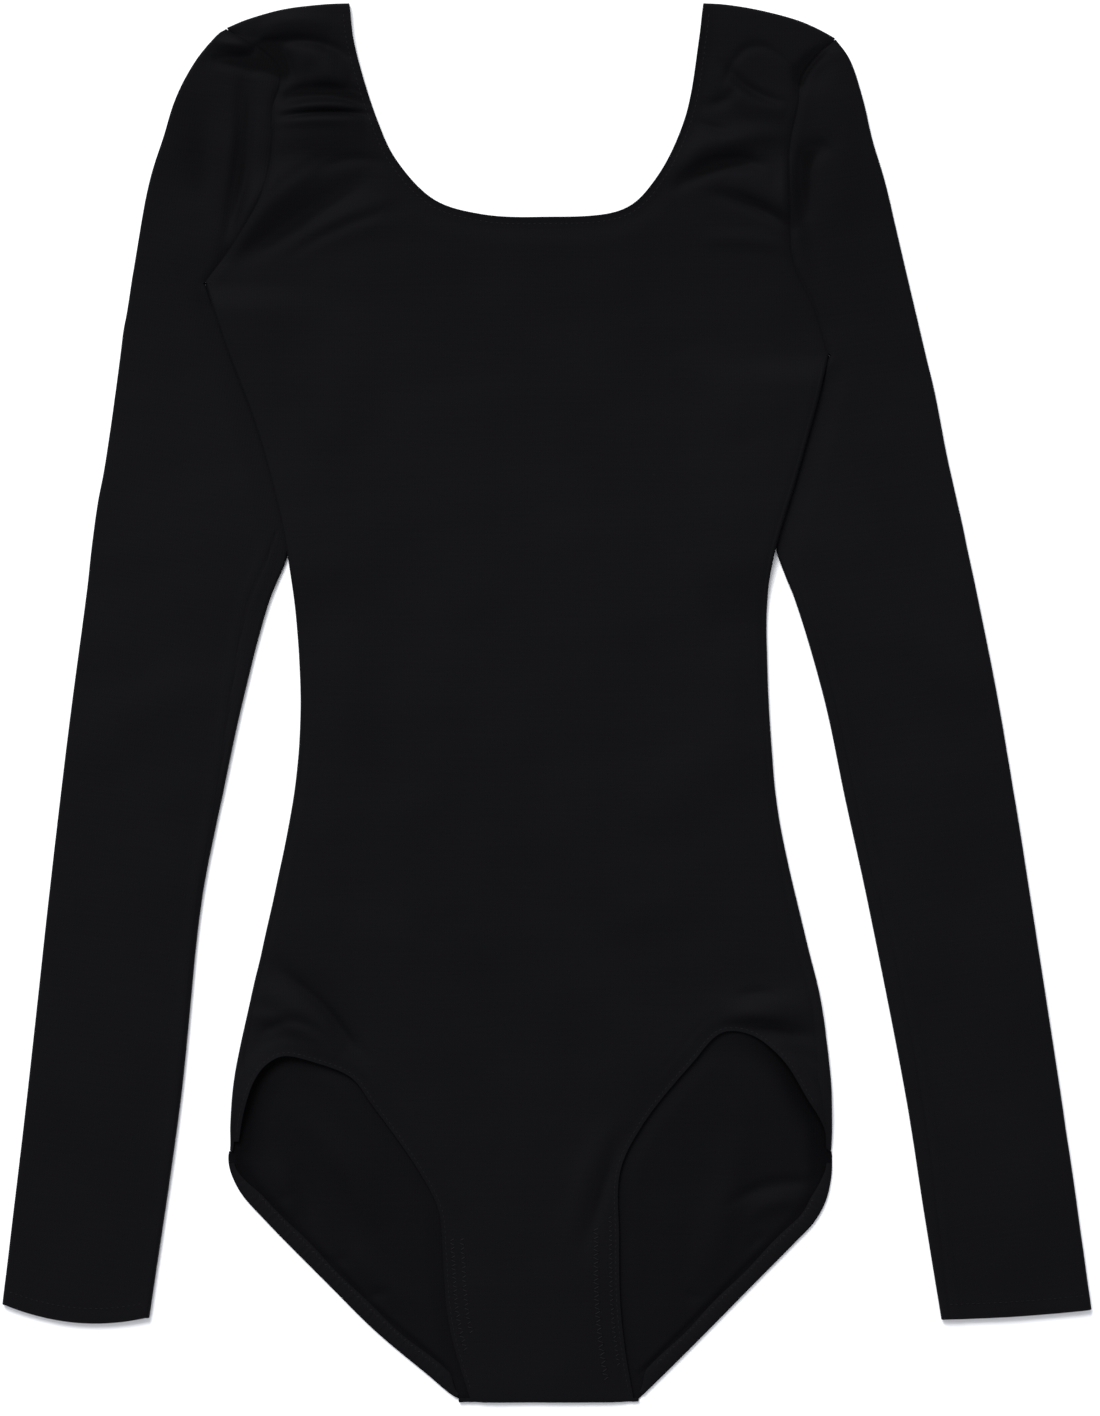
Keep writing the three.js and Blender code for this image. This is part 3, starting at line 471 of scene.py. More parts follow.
def folds(flat, table):
    total = np.zeros(len(flat))
    for fold in (Fold(*row) for row in table):
        start = np.array(fold.start, float)
        way = np.array(fold.end, float) - start
        length = np.linalg.norm(way)
        way /= length
        away = flat - start
        reach = away @ way
        along = np.clip(reach / length, 0, 1)
        beyond = reach - along * length
        aside = way[0] * away[:, 1] - way[1] * away[:, 0] - 4 * fold.bend * along * (1 - along)
        fade = np.sin(np.pi * (FOLD_END + (1 - 2 * FOLD_END) * along)) ** FOLD_FADE
        total += fold.rise * fade * np.exp(-(aside ** 2 + beyond ** 2) / fold.width ** 2)
    return total


def ripples(flat):
    total = np.zeros(len(flat))
    for k, ripple in enumerate(RIPPLES):
        x = flat @ (math.cos(ripple.turn), math.sin(ripple.turn))
        y = flat @ (-math.sin(ripple.turn), math.cos(ripple.turn))
        total += ripple.height * np.sin(2 * np.pi * x / ripple.across + k) * np.cos(
            2 * np.pi * y / ripple.along + 2 * k)
    return total


def soft_floor(heights, least, softness=0.35):
    """Heights that come down to a least height without a hard corner."""
    over = heights - least
    return least + 0.5 * (over + np.sqrt(over ** 2 + softness ** 2))


def band(distance, width, rise):
    return rise * (1 - smoothstep(distance - width, *BAND_STEP))


def dip(distance, size):
    return size.depth * np.exp(-(distance / size.width) ** 2)


def leg_fall(half, distance, along):
    depth = np.interp(along / half.front_leg.length, [row.share for row in LEG_FALL],
                      [row.depth for row in LEG_FALL])
    return depth * (1 - smoothstep(distance, 0, LEG_FALL_WIDTH))


def front_height(flat):
    y = flat[:, 1]
    neck = np.abs(from_line(neckline.samples, flat)[0])
    height = UPPER + folds(flat, FOLDS) + folds(flat, CREASES) + ripples(flat)
    height -= NECK_FALL * (1 - smoothstep(neck, 0, NECK_FALL_WIDTH)) * smoothstep(
        -y, *BELOW_SHOULDER)
    edge = neck
    for half in HALVES.values():
        distance, along = from_line(half.front_leg.samples, flat)
        leg = np.abs(distance)
        edge = np.minimum(edge, leg)
        height += band(leg, LEG_BAND, BAND_RISE) - leg_fall(half, leg, along)
        height -= dip(from_line(half.armhole.samples, flat)[0], ARMHOLE_DIP)
        beside = half.inside_of(flat) - half.roll_at(y)
        height -= dip(beside, SIDE_DIP) * smoothstep(half.underarm - y, 0, SLOPE)
    height += band(neck, NECK_BAND, NECK_BAND_RISE) + BEAD * np.exp(-(edge / BEAD_WIDTH) ** 2)
    return lift(flat) + soft_floor(height, LEAST_UPPER)


def hip_outline(half):
    return np.vstack([half.side.samples, half.back_leg.samples[2 * SAMPLES:]])


def back_height(flat):
    """The back lies flat but for the stretches that show through the leg openings, which
    rise beside the hem."""
    openings = []
    for half in HALVES.values():
        inside = half.inward * from_line(hip_outline(half), flat)[0]
        below = -half.inward * from_line(half.front_leg.samples, flat)[0]
        openings.append(smoothstep(inside, *HEM_GROOVE) * smoothstep(below, *PAST_LEG_EDGE))
    seen = np.max(openings, axis=0) * smoothstep(-flat[:, 1], *OPENING_LEVELS)
    loose = np.maximum(INNER_LOOSE + folds(flat, BACK_CREASES) + ripples(flat), 0)
    return UNDER + lift(flat) + seen * loose


def sleeve_height(half, flat, fall=0):
    y = flat[:, 1]
    along = smoothstep(half.underarm - y, 0, SLOPE) * smoothstep(y, *SLEEVE_PASS_LEVELS)
    pressed = along * (1 - smoothstep(-half.inside_of(flat), *SLEEVE_PASS_WIDTH))
    loose = folds(flat, FOLDS) + folds(flat, CREASES) + ripples(flat)
    seam, _ = from_line(half.seam.samples, flat)
    allowance = ALLOWANCE.rise * np.exp(-((np.abs(seam) - ALLOWANCE.aside) / ALLOWANCE.width) ** 2)
    armhole = dip(from_line(half.armhole.samples, flat)[0], ARMHOLE_DIP)
    height = UPPER - PRESS * pressed + (loose + allowance) * (1 - pressed) - fall - armhole
    return soft_floor(height, LEAST_UPPER)


class Sheet:
    """A sheet of cloth without thickness: patches of points whose shared points are merged."""

    def __init__(self):
        self.places = []
        self.quads = []
        self.count = 0

    def patch(self, rows):
        rows = np.asarray(rows, float)
        high, wide = rows.shape[:2]
        indices = self.count + np.arange(high * wide).reshape(high, wide)
        self.places.append(rows.reshape(-1, 3))
        self.quads.append(np.stack([indices[:-1, :-1], indices[:-1, 1:], indices[1:, 1:],
                                    indices[1:, :-1]], -1).reshape(-1, 4))
        self.count += high * wide

    def merged(self):
        places = np.vstack(self.places)
        _, first, index = np.unique(np.round(places, 3), axis=0, return_index=True,
                                    return_inverse=True)
        quads = index.reshape(-1)[np.vstack(self.quads)]
        same = sum((quads[:, k] == quads[:, (k + 1) % 4]).astype(int) for k in range(4))
        used, quads = np.unique(quads[same < 2], return_inverse=True)
        return places[first][used], quads.reshape(-1, 4)


def wall(sheet, thickness):
    """The closed shell of a sheet, with rounded rims. Returns its places, faces and normals,
    and for each place the sheet's own point and whether it is on the side its patches face."""
    points, quads = sheet.merged()
    corner = points[quads]
    normals = unit(np.cross(corner[:, 2] - corner[:, 0], corner[:, 3] - corner[:, 1]))
    mean = np.zeros_like(points)
    np.add.at(mean, quads.reshape(-1), np.repeat(normals, 4, axis=0))
    mean = unit(mean)
    facing = np.zeros(len(points))
    meeting = np.zeros(len(points))
    np.add.at(facing, quads.reshape(-1), np.einsum(
        "ij,ij->i", np.repeat(normals, 4, axis=0), mean[quads.reshape(-1)]))
    np.add.at(meeting, quads.reshape(-1), 1)
    offset = mean * (thickness / 2 / np.maximum(facing / meeting, LEAST_FACING))[:, None]

    edges = np.vstack([quads[:, [k, (k + 1) % 4]] for k in range(4)])
    edges = edges[edges[:, 0] != edges[:, 1]]
    count = len(points)
    keys, reverse = edges @ (count, 1), edges @ (1, count)
    free = edges[~np.isin(keys, reverse)]
    outward = np.zeros_like(points)
    ways = points[free[:, 1]] - points[free[:, 0]]
    push = unit(np.cross(ways, mean[free[:, 0]]))
    np.add.at(outward, free.reshape(-1), np.repeat(push, 2, axis=0))
    outward = unit(outward)
    rim_of = np.full(count, -1)
    rim = np.unique(free)
    rim_of[rim] = 2 * count + np.arange(len(rim))
    places = np.vstack([points + offset, points - offset, points[rim] + outward[rim] * RIM])
    places[:, 2] = np.maximum(places[:, 2], 0)

    a, b = free.T
    faces = np.vstack([
        quads,
        quads[:, ::-1] + count,
        np.stack([b, a, rim_of[a], rim_of[b]], -1),
        np.stack([rim_of[b], rim_of[a], a + count, b + count], -1),
    ])
    source = np.concatenate([np.arange(count), np.arange(count), rim])
    upper_side = np.concatenate([np.ones(count), np.zeros(count), np.full(len(rim), 0.5)])
    normals = np.vstack([mean, -mean, outward[rim]])
    return places, faces, normals, points[source], upper_side


def add_object(name, data):
    added = bpy.data.objects.new(name, data)
    bpy.context.scene.collection.objects.link(added)
    return added


def make_object(name, places, faces, normals, attributes):
    """A mesh object at the origin, from places in millimetres. A quad with two corners in
    one place becomes a triangle."""
    polygons = []
    for face in faces.tolist():
        corners = [v for k, v in enumerate(face) if v != face[k - 1]]
        if len(corners) > 2:
            polygons.append(corners)
    mesh = bpy.data.meshes.new(name)
    mesh.from_pydata((places * MM).tolist(), [], polygons)
    for label, values in attributes.items():
        layer = mesh.attributes.new(label, "FLOAT", "POINT")
        layer.data.foreach_set("value", np.asarray(values, np.float32))
    mesh.shade_smooth()
    mesh.normals_split_custom_set_from_vertices(normals.tolist())
    return add_object(name, mesh)


def raise_grid(grid, height):
    flat = grid.reshape(-1, 2)
    return np.column_stack([flat, height(flat)]).reshape(*grid.shape[:2], 3)


def turned(upper, lower, outward):
    """Points round a turned edge, from the upper to the lower point of its two layers. Where
    the layers lie closer together, the edge turns more tightly."""
    angles = np.pi * np.arange(ROUND + 1) / ROUND
    apart = (upper - lower)[:, None, 2]
    z = lower[:, None, 2] + apart * (1 + np.cos(angles)) / 2
    reach = np.minimum(TURN, apart / 2) * np.sin(angles)
    flat = (upper + lower)[:, None, :2] / 2 + outward[:, None, :] * reach[..., None]
    return np.concatenate([flat, z[..., None]], -1)


def armhole_edge(half, piece, steps):
    low = half.armhole.stretch(ARMHOLE_START[piece], STRAP_FOOT, steps["armhole_low"])
    high = half.armhole.stretch(STRAP_FOOT, ARMHOLE_END, steps["armhole_high"])
    aside = SEAM_GAP / 2 if piece == "body" else -SEAM_GAP / 2
    return move_aside(np.vstack([low, high[1:]]), half.inward * aside)


def body_side(half, from_wing, inset_at, steps):
    """Side edge of a body piece up to the underarm, then the armhole to the strap's foot."""
    levels = (half.wing.level, HIP_LEVEL, half.underarm - SLOPE)
    shares = [1, *(half.side.share_at_level(y) for y in levels), 0]
    parts = [half.side.stretch(start, end, steps[part]) for start, end, part in zip(
        shares, shares[1:], ("wing", "hip", "torso", "slope"))]
    corner = parts[-1][-1]
    last = corner + (parts[-1][-2] - corner) * LAST_ROW["front" if from_wing else "back"]
    parts[-1] = np.vstack([parts[-1][:-1], last, corner])
    start = steps["wing"] if from_wing else 0
    outline = np.vstack([parts[0], *(part[1:] for part in parts[1:])])[start:]
    edge = move_aside(outline, inset_at(outline[:, 1]) * half.inward)
    armhole = armhole_edge(half, "body", steps)[:steps["armhole_low"] + 1]
    return outline, edge, np.vstack([edge, armhole])


def body_blocks(bottom, left_edge, right_edge, steps):
    """The grid from a bottom edge up to the neckline, and the two straps above it."""
    straps = []
    for name, half in HALVES.items():
        armhole = armhole_edge(half, "body", steps)[steps["armhole_low"]:]
        inset = EDGE / neckline.length
        ends = (SCOOP[0], inset) if name == "left" else (SCOOP[1], 1 - inset)
        neck = neckline.stretch(*ends, steps["armhole_high"])
        outline = half.shoulder.stretch(0, 1, steps["strap"])
        top = move_aside(outline, EDGE)
        left, right = (armhole, neck) if name == "left" else (neck, armhole)
        if name == "left":
            top[0], right[-1] = left[-1], top[-1]
        else:
            top[-1], left[-1] = right[-1], top[0]
        foot = np.linspace(left[0], right[0], steps["strap"] + 1)
        outward = (outline - top) / EDGE
        straps.append((fill(foot, top, left, right), foot, outward))
    scoop = neckline.stretch(*SCOOP, steps["scoop"])
    top = np.vstack([straps[0][1], scoop[1:-1], straps[1][1]])
    return fill(bottom, top, left_edge, right_edge), straps


def shoulder_turn(row, outward, direction):
    angles = SHOULDER_TURN * np.arange(1, ROUND // 2 + 1) / (ROUND // 2)
    rows = []
    for angle in angles:
        drop = np.abs(row[:, 2] - MIDDLE) * (1 - math.cos(angle))
        rows.append(np.column_stack([row[:, :2] + outward * TURN * math.sin(angle),
                                     row[:, 2] + direction * drop]))
    return np.array(rows)


STEPS = {
    "strap": 42, "scoop": 56, "wing": 34, "slope": 5, "torso": 100, "hip": 30,
    "armhole_low": 36, "armhole_high": 74, "arch": 40, "crotch": 60, "seat": 90,
    "sleeve": 48, "hem": 200,
}
# The back's upper part is hidden, so its rows are wider apart
BACK_STEPS = {**STEPS, "wing": 24, "torso": 64, "hip": 20, "armhole_low": 16,
              "armhole_high": 30}
HIP_LEVEL = -128
FLAP_ROWS = 4
# At the underarm the front's corner covers the end of the side seam: how far the corner is
# from the outline, and where the last row before it lies, as a share of the usual spacing
CORNER_INSET = (0.3, 0.1)
LAST_ROW = {"front": 0.35, "back": 0.1}


def build_front():
    sheet = Sheet()
    sides = {}
    for name, half in HALVES.items():
        sides[name] = body_side(half, True, lambda y, half=half: half.roll_at(y) + SEAM_GAP / 2,
                                STEPS)
    arches = {name: half.front_leg.stretch(half.wing.top, half.wing.crotch, STEPS["arch"])
              for name, half in HALVES.items()}
    left_arch, right_arch = arches["left"], arches["right"][::-1]
    columns = 2 * STEPS["strap"] + STEPS["scoop"]
    wing_steps = 8
    crotch_steps = columns - 2 * (wing_steps + STEPS["arch"])
    crotch_top = np.linspace(left_arch[-1], right_arch[0], crotch_steps + 1)
    left_wing = np.linspace(sides["left"][1][0], left_arch[0], wing_steps + 1)
    right_wing = np.linspace(right_arch[-1], sides["right"][1][0], wing_steps + 1)
    bottom = np.vstack([left_wing, left_arch[1:], crotch_top[1:-1], right_arch, right_wing[1:]])
    torso, straps = body_blocks(bottom, sides["left"][2], sides["right"][2], STEPS)
    for column, (name, half) in zip((0, -1), HALVES.items()):
        outline = sides[name][0]
        torso[len(outline) - 1, column] = outline[-1] + CORNER_INSET * np.array((half.inward, 1))
    sheet.patch(raise_grid(torso, front_height))
    for grid, _, outward in straps:
        rows = raise_grid(grid, front_height)
        sheet.patch(np.concatenate([rows, shoulder_turn(rows[-1], outward, -1)]))

    level = CROTCH_LEVEL + CROTCH_ROLL + SEAM_GAP / 2
    edges = []
    for name, half in HALVES.items():
        end = half.front_leg.share_at_level(level)
        edges.append(half.front_leg.stretch(end, half.wing.crotch, STEPS["crotch"]))
    base = np.linspace(edges[0][0], edges[1][0], crotch_steps + 1)
    sheet.patch(raise_grid(fill(base, crotch_top, *edges), front_height))

    for name, half in HALVES.items():
        leg = half.front_leg.stretch(half.wing.tip, half.wing.top, STEPS["wing"])
        levels = np.linspace(leg[0, 1], half.wing.level, STEPS["wing"] + 1)
        outline = np.column_stack([half.side.x_at_level(levels), levels])[::-1]
        inset = (half.roll_at(outline[:, 1]) + SEAM_GAP / 2) * half.inward
        edge = move_aside(outline, -inset)[::-1]
        edge[-1] = sides[name][1][0]
        pair = (edge, leg) if name == "left" else (leg, edge)
        shares = np.linspace(0, 1, wing_steps + 1)[None, :, None]
        grid = (1 - shares) * pair[0][:, None] + shares * pair[1][:, None]
        sheet.patch(raise_grid(grid, front_height))
    return sheet


def build_back():
    sheet = Sheet()
    sides = {name: body_side(half, False, lambda y: np.full(len(y), EDGE), BACK_STEPS)
             for name, half in HALVES.items()}
    columns = 2 * BACK_STEPS["strap"] + BACK_STEPS["scoop"]
    bottom = np.linspace(sides["left"][1][0], sides["right"][1][0], columns + 1)
    torso, straps = body_blocks(bottom, sides["left"][2], sides["right"][2], BACK_STEPS)
    sheet.patch(raise_grid(torso, back_height))
    for grid, _, outward in straps:
        rows = raise_grid(grid, back_height)
        sheet.patch(np.concatenate([rows, shoulder_turn(rows[-1], outward, 1)]))

    edges = []
    for name, half in HALVES.items():
        end = half.back_leg.share_at_level(CROTCH_LEVEL + EDGE)
        edge = half.back_leg.stretch(end, 0, BACK_STEPS["seat"])
        edge[-1] = sides[name][1][0]
        edges.append(edge)
    base = np.linspace(edges[0][0], edges[1][0], columns + 1)
    seat = raise_grid(fill(base, bottom, *edges), back_height)
    levels = np.linspace(CROTCH_LEVEL + CROTCH_ROLL, CROTCH_LEVEL + EDGE, FLAP_ROWS)
    flap = raise_grid(np.stack([np.column_stack([base[:, 0], np.full(len(base), y)])
                                for y in levels]), front_height)
    down = np.tile((0.0, -1.0), (len(base), 1))
    loop = turned(flap[-1], seat[0], down)
    sheet.patch(np.concatenate([flap[:-1], loop.transpose(1, 0, 2), seat[1:]]))

    for name, half in HALVES.items():
        outline, edge = (line[:-1].copy() for line in sides[name][:2])
        end = move_aside(outline, half.roll_at(outline[:, 1]) * half.inward)
        end[-1, 1] = edge[-1, 1] = outline[-1, 1]
        outward = unit(outline - edge)
        lower = np.column_stack([edge, back_height(edge)])
        upper = np.column_stack([edge, front_height(edge)])
        lip = [np.column_stack([flat, front_height(flat)])
               for flat in (end, (end + edge) / 2)]
        rows = np.concatenate([np.stack(lip, 1), turned(upper, lower, outward)], 1)
        sheet.patch(rows if name == "left" else rows[:, ::-1])
    return sheet


def sleeve_rows(half):
    """The outline and the inset of both edges of a sleeve, row by row from the cuff up."""
    def stations(line, side):
        shares = [line.share_at_level(section[side][1]) for section in SLEEVE[half.name]]
        return line.at(np.interp(np.linspace(0, len(shares) - 1, count + 1),
                                 np.arange(len(shares)), shares))
    per_section = 13
    count = (len(SLEEVE[half.name]) - 1) * per_section
    outer, inner = stations(half.outer, 0), stations(half.inner, 1)
    cap = half.cap.stretch(*CAP_STRETCH, STEPS["armhole_low"] + STEPS["armhole_high"])
    outer = np.vstack([outer, cap])
    falls = point_fall(half, outer)
    inner_edge = move_aside(inner, -EDGE * half.inward)
    outer_edge = move_aside(outer, (EDGE - falls / 2) * half.inward)
    return outer, outer_edge, inner, np.vstack([inner_edge, armhole_edge(half, "sleeve", STEPS)])


def point_fall(half, flat):
    away = np.linalg.norm(flat - half.cap.at(1), axis=1)
    return POINT_FALL * (1 - smoothstep(away, 0, POINT_FALL_WIDTH))


def build_sleeve(half):
    sheet = Sheet()
    outer, outer_edge, inner, inner_edge = sleeve_rows(half)
    rows = len(outer)
    shares = np.linspace(0, 1, STEPS["sleeve"] + 1)
    across = shares[None, :, None]
    flats = outer_edge[:, None] * (1 - across) + inner_edge[:, None] * across
    cuff_share = np.clip(1 - np.arange(rows) / (len(inner) - 1), 0, 1) ** CUFF_FADE
    bow = 4 * CUFF_BOW[half.name] * shares * (1 - shares)
    flats[..., 1] -= bow[None] * cuff_share[:, None]
    cuff = flats[0]
    upper = raise_grid(flats, lambda flat: sleeve_height(half, flat, point_fall(half, flat))
                       + band(np.abs(from_line(cuff, flat)[0]), CUFF_BAND, BAND_RISE))
    lower = np.concatenate([flats, np.full((*flats.shape[:2], 1), UNDER)], -1)
    outer_turn = turned(upper[:, 0], lower[:, 0], unit(outer - outer_edge))
    closed = len(inner)
    inner_turn = turned(upper[:closed, -1], lower[:closed, -1],
                        unit(inner - inner_edge[:closed]))
    way = 1 if half.name == "left" else -1
    sheet.patch(upper[:, ::way])
    sheet.patch(lower[:, ::-way])
    sheet.patch(outer_turn[:, ::-way])
    sheet.patch(inner_turn[:, ::way])
    return sheet, cuff


def build_leg_hem(half):
    """The turned hem inside the back's leg edge, gathered a little by its elastic."""
    sheet = Sheet()
    edge = half.back_leg.stretch(LEG_HEM.start, LEG_HEM.end, STEPS["hem"])
    shares = shares_of(edge)
    full = np.minimum(smoothstep(shares, 0, HEM_TAPER["start"]),
                      smoothstep(1 - shares, 0, HEM_TAPER["end"]))
    least = HEM_TAPER["least"]
    width = LEG_HEM.width * (least + (1 - least) * full) + HEM_UNEVEN * np.sin(shares * 23)
    lanes = np.linspace(0, 1, HEM_LANES + 1)
    flat = np.stack([move_aside(edge, -(LEG_HEM.inset + lane * width) * half.inward)
                     for lane in lanes], 1)
    along = shares[:, None] * half.back_leg.length
    crown = (np.sin(np.pi * lanes) ** 0.6)[None] * (0.4 + 0.6 * full)[:, None]
    gathers = np.sin(along * 2.3) * np.sin(along * 0.41) + 0.6 * np.sin(along * 1.37 + 2)
    z = UNDER + CLOTH + SEAM_GAP + crown * (HEM_CROWN + GATHER * gathers)
    rows = np.concatenate([flat, z[..., None]], -1)
    sheet.patch(rows[::-1] if half.name == "left" else rows)
    return sheet


# Materials

def linear(hex_colour):
    """An sRGB hex colour as linear red, green, blue and alpha."""
    parts = [int(hex_colour[k:k + 2], 16) / 255 for k in (1, 3, 5)]
    return [p / 12.92 if p <= 0.04045 else ((p + 0.055) / 1.055) ** 2.4 for p in parts] + [1]


def add_node(tree, kind, inputs=None, output=0, **settings):
    """An output of a new node, whose inputs are given values or linked to other outputs."""
    node = tree.nodes.new(kind)
    for name, value in settings.items():
        setattr(node, name, value)
    for name, value in (inputs or {}).items():
        if isinstance(value, bpy.types.NodeSocket):
            tree.links.new(value, node.inputs[name])
        else:
            node.inputs[name].default_value = value
    return node.outputs[output] if node.outputs else node


def mix(tree, share, first, second):
    return add_node(tree, "ShaderNodeMix", {"Factor": share, "A": first, "B": second},
                    output="Result", data_type="RGBA")


def noise(tree, places, scale, detail):
    return add_node(tree, "ShaderNodeTexNoise", {
        "Vector": places, "Scale": scale, "Detail": detail})


def calculate(tree, operation, *values):
    return add_node(tree, "ShaderNodeMath", dict(enumerate(values)), operation=operation)


def ease(tree, value, start, end, low, high):
    """A value that eases from low to high between its start and its end."""
    return add_node(tree, "ShaderNodeMapRange", {
        "Value": value, "From Min": start, "From Max": end, "To Min": low, "To Max": high},
        interpolation_type="SMOOTHSTEP")


def bump(tree, height, strength, distance, **under):
    return add_node(tree, "ShaderNodeBump", {
        "Height": height, "Strength": strength, "Distance": distance * MM, **under})


def new_material(name):
    material = bpy.data.materials.new(name)
    material.use_nodes = True
    material.node_tree.nodes.clear()
    return material, material.node_tree


def jersey(name, turn):
    """Cotton and elastane single jersey, dyed black: matt, with a soft bloom of fibre ends
    where it turns away, and fine wales that run along the piece. Real wales are about
    0.6 mm apart, too fine to show, so they are drawn at 1.3 mm. The colour holds painted
    shade: it is drawn darker towards the shoulders, and nearly black where little light gets
    in. Its light specks are lint and painted glints of fibre ends, and its inner face is
    drawn darker, as the duller purl side and as painted shade. turn follows the grain."""
    material, tree = new_material(name)
    place = add_node(tree, "ShaderNodeTexCoord", output="Object")
    grain = add_node(tree, "ShaderNodeMapping", {"Vector": place, "Rotation": (0, 0, turn)})
    wales = add_node(tree, "ShaderNodeTexWave", {
        "Vector": grain, "Scale": 2 * math.pi / 20 / (1.3 * MM), "Distortion": 1.2,
        "Detail": 1, "Detail Scale": 0.4}, output="Fac", bands_direction="X")
    fibres = noise(tree, place, 1 / (1.6 * MM), 3)
    patches = noise(tree, place, 1 / (60 * MM), 4)
    across = add_node(tree, "ShaderNodeMapping", {"Vector": grain, "Scale": (0.06, 1, 1)})
    courses = noise(tree, across, 1 / (1.5 * MM), 2)
    seam, edge, along, inner, shade = (
        add_node(tree, "ShaderNodeAttribute", output="Fac", attribute_name=label)
        for label in ("seam", "edge", "along", "inner_side", "shade"))

    # Sparse light specks: lint, and painted glints of fibre ends
    lint_and_glints = add_node(tree, "ShaderNodeMapRange", {
        "Value": fibres, "From Min": 0.74, "From Max": 0.84, "To Max": 0.3})
    level = add_node(tree, "ShaderNodeSeparateXYZ", {"Vector": place}, output="Y")
    colour = mix(tree, patches, linear("#060608"), linear("#0a0a0d"))
    colour = mix(tree, lint_and_glints, colour, linear("#202024"))
    # Painted shade: the cloth is drawn darker towards the shoulders
    colour = mix(tree, ease(tree, level, 0.09, 0.28, 0, 0.42), colour, linear("#000001"))
    # The inner face is drawn darker: the duller purl side, and painted shade
    colour = mix(tree, inner, colour, linear("#060608"))
    colour = mix(tree, shade, colour, linear("#000001"))

    relief = bump(tree, calculate(tree, "ADD", wales, fibres), 0.2, 0.12)
    relief = bump(tree, courses, 0.35, 0.25, Normal=relief)
    relief = bump(tree, ease(tree, seam, 0, 1.4, 0, 1), 0.6, 0.35, Normal=relief)
    gathers = add_node(tree, "ShaderNodeCombineXYZ", {"X": along})
    near = ease(tree, edge, 0.5, 8, 1, 0)
    pucker = calculate(tree, "MULTIPLY", noise(tree, gathers, 0.42, 2), near)
    uneven = calculate(tree, "MULTIPLY", pucker, patches)
    relief = bump(tree, uneven, 0.5, 0.7, Normal=relief)
    cloth = add_node(tree, "ShaderNodeBsdfPrincipled", {
        "Base Color": colour, "Roughness": 0.72, "Specular IOR Level": 0.05,
        "Sheen Weight": 0.02, "Sheen Roughness": 0.45, "Sheen Tint": linear("#9a9ca6"),
        "Normal": relief})
    add_node(tree, "ShaderNodeOutputMaterial", {"Surface": cloth})
    return material


def thread():
    """Spun polyester sewing thread, black: a little smoother than the cloth, so that each
    stitch catches a small light. The ply is too fine to show."""
    material, tree = new_material("polyester sewing thread")
    place = add_node(tree, "ShaderNodeTexCoord", output="Object")
    uneven = noise(tree, place, 1 / (3 * MM), 2)
    shader = add_node(tree, "ShaderNodeBsdfPrincipled", {
        "Base Color": mix(tree, uneven, linear("#09090b"), linear("#121215")),
        "Roughness": 0.6, "Specular IOR Level": 0.12})
    add_node(tree, "ShaderNodeOutputMaterial", {"Surface": shader})
    return material


def paper():
    """Matt white paper of the table top: plain, with no pattern of its own."""
    material, tree = new_material("matt white paper")
    shader = add_node(tree, "ShaderNodeBsdfPrincipled", {
        "Base Color": linear("#fafafa"), "Roughness": 0.9, "Specular IOR Level": 0.1})
    add_node(tree, "ShaderNodeOutputMaterial", {"Surface": shader})
    return material


# Stitches

def stitch_tree():
    """Rows of stitches along a line: its points are spaced evenly, and each gets one short
    thread, slanted to left and right in turn."""
    tree = bpy.data.node_groups.new("stitch row", "GeometryNodeTree")
    sockets = tree.interface
    sockets.new_socket("Line", in_out="INPUT", socket_type="NodeSocketGeometry")
    sizes = {"Spacing": 2.6 * MM, "Length": 2.0 * MM, "Width": 0.5 * MM, "Slant": 0}
    for name, size in sizes.items():
        socket = sockets.new_socket(name, in_out="INPUT", socket_type="NodeSocketFloat")
        socket.default_value = size
    sockets.new_socket("Thread", in_out="INPUT", socket_type="NodeSocketMaterial")
    sockets.new_socket("Stitches", in_out="OUTPUT", socket_type="NodeSocketGeometry")
    given = tree.nodes.new("NodeGroupInput").outputs
    line = add_node(tree, "GeometryNodeMeshToCurve", {"Mesh": given["Line"]})
    even = add_node(tree, "GeometryNodeResampleCurve", {
        "Curve": line, "Length": given["Spacing"]}, mode="LENGTH")
    bead = add_node(tree, "GeometryNodeMeshUVSphere", {
        "Segments": 6, "Rings": 5, "Radius": 0.5}, output="Mesh")
    size = add_node(tree, "ShaderNodeCombineXYZ", {
        "X": given["Length"], "Y": given["Width"], "Z": given["Width"]})
    long_bead = add_node(tree, "GeometryNodeTransform", {"Geometry": bead, "Scale": size})
    tangent = add_node(tree, "GeometryNodeInputTangent")
    facing = add_node(tree, "FunctionNodeAlignRotationToVector", {"Vector": tangent}, axis="X")
    number = add_node(tree, "GeometryNodeInputIndex")
    odd = calculate(tree, "MODULO", number, 2)
    sign = calculate(tree, "MULTIPLY_ADD", odd, 2, -1)
    slant = calculate(tree, "MULTIPLY", sign, given["Slant"])
    tilt = add_node(tree, "FunctionNodeAxisAngleToRotation", {
        "Axis": (0, 0, 1), "Angle": slant})
    both = add_node(tree, "FunctionNodeRotateRotation", {
        "Rotation": facing, "Rotate By": tilt}, rotation_space="LOCAL")
    row = add_node(tree, "GeometryNodeInstanceOnPoints", {
        "Points": even, "Instance": long_bead, "Rotation": both})
    real = add_node(tree, "GeometryNodeRealizeInstances", {"Geometry": row})
    finished = add_node(tree, "GeometryNodeSetMaterial", {
        "Geometry": real, "Material": given["Thread"]})
    add_node(tree, "NodeGroupOutput", {"Stitches": finished})
    return tree


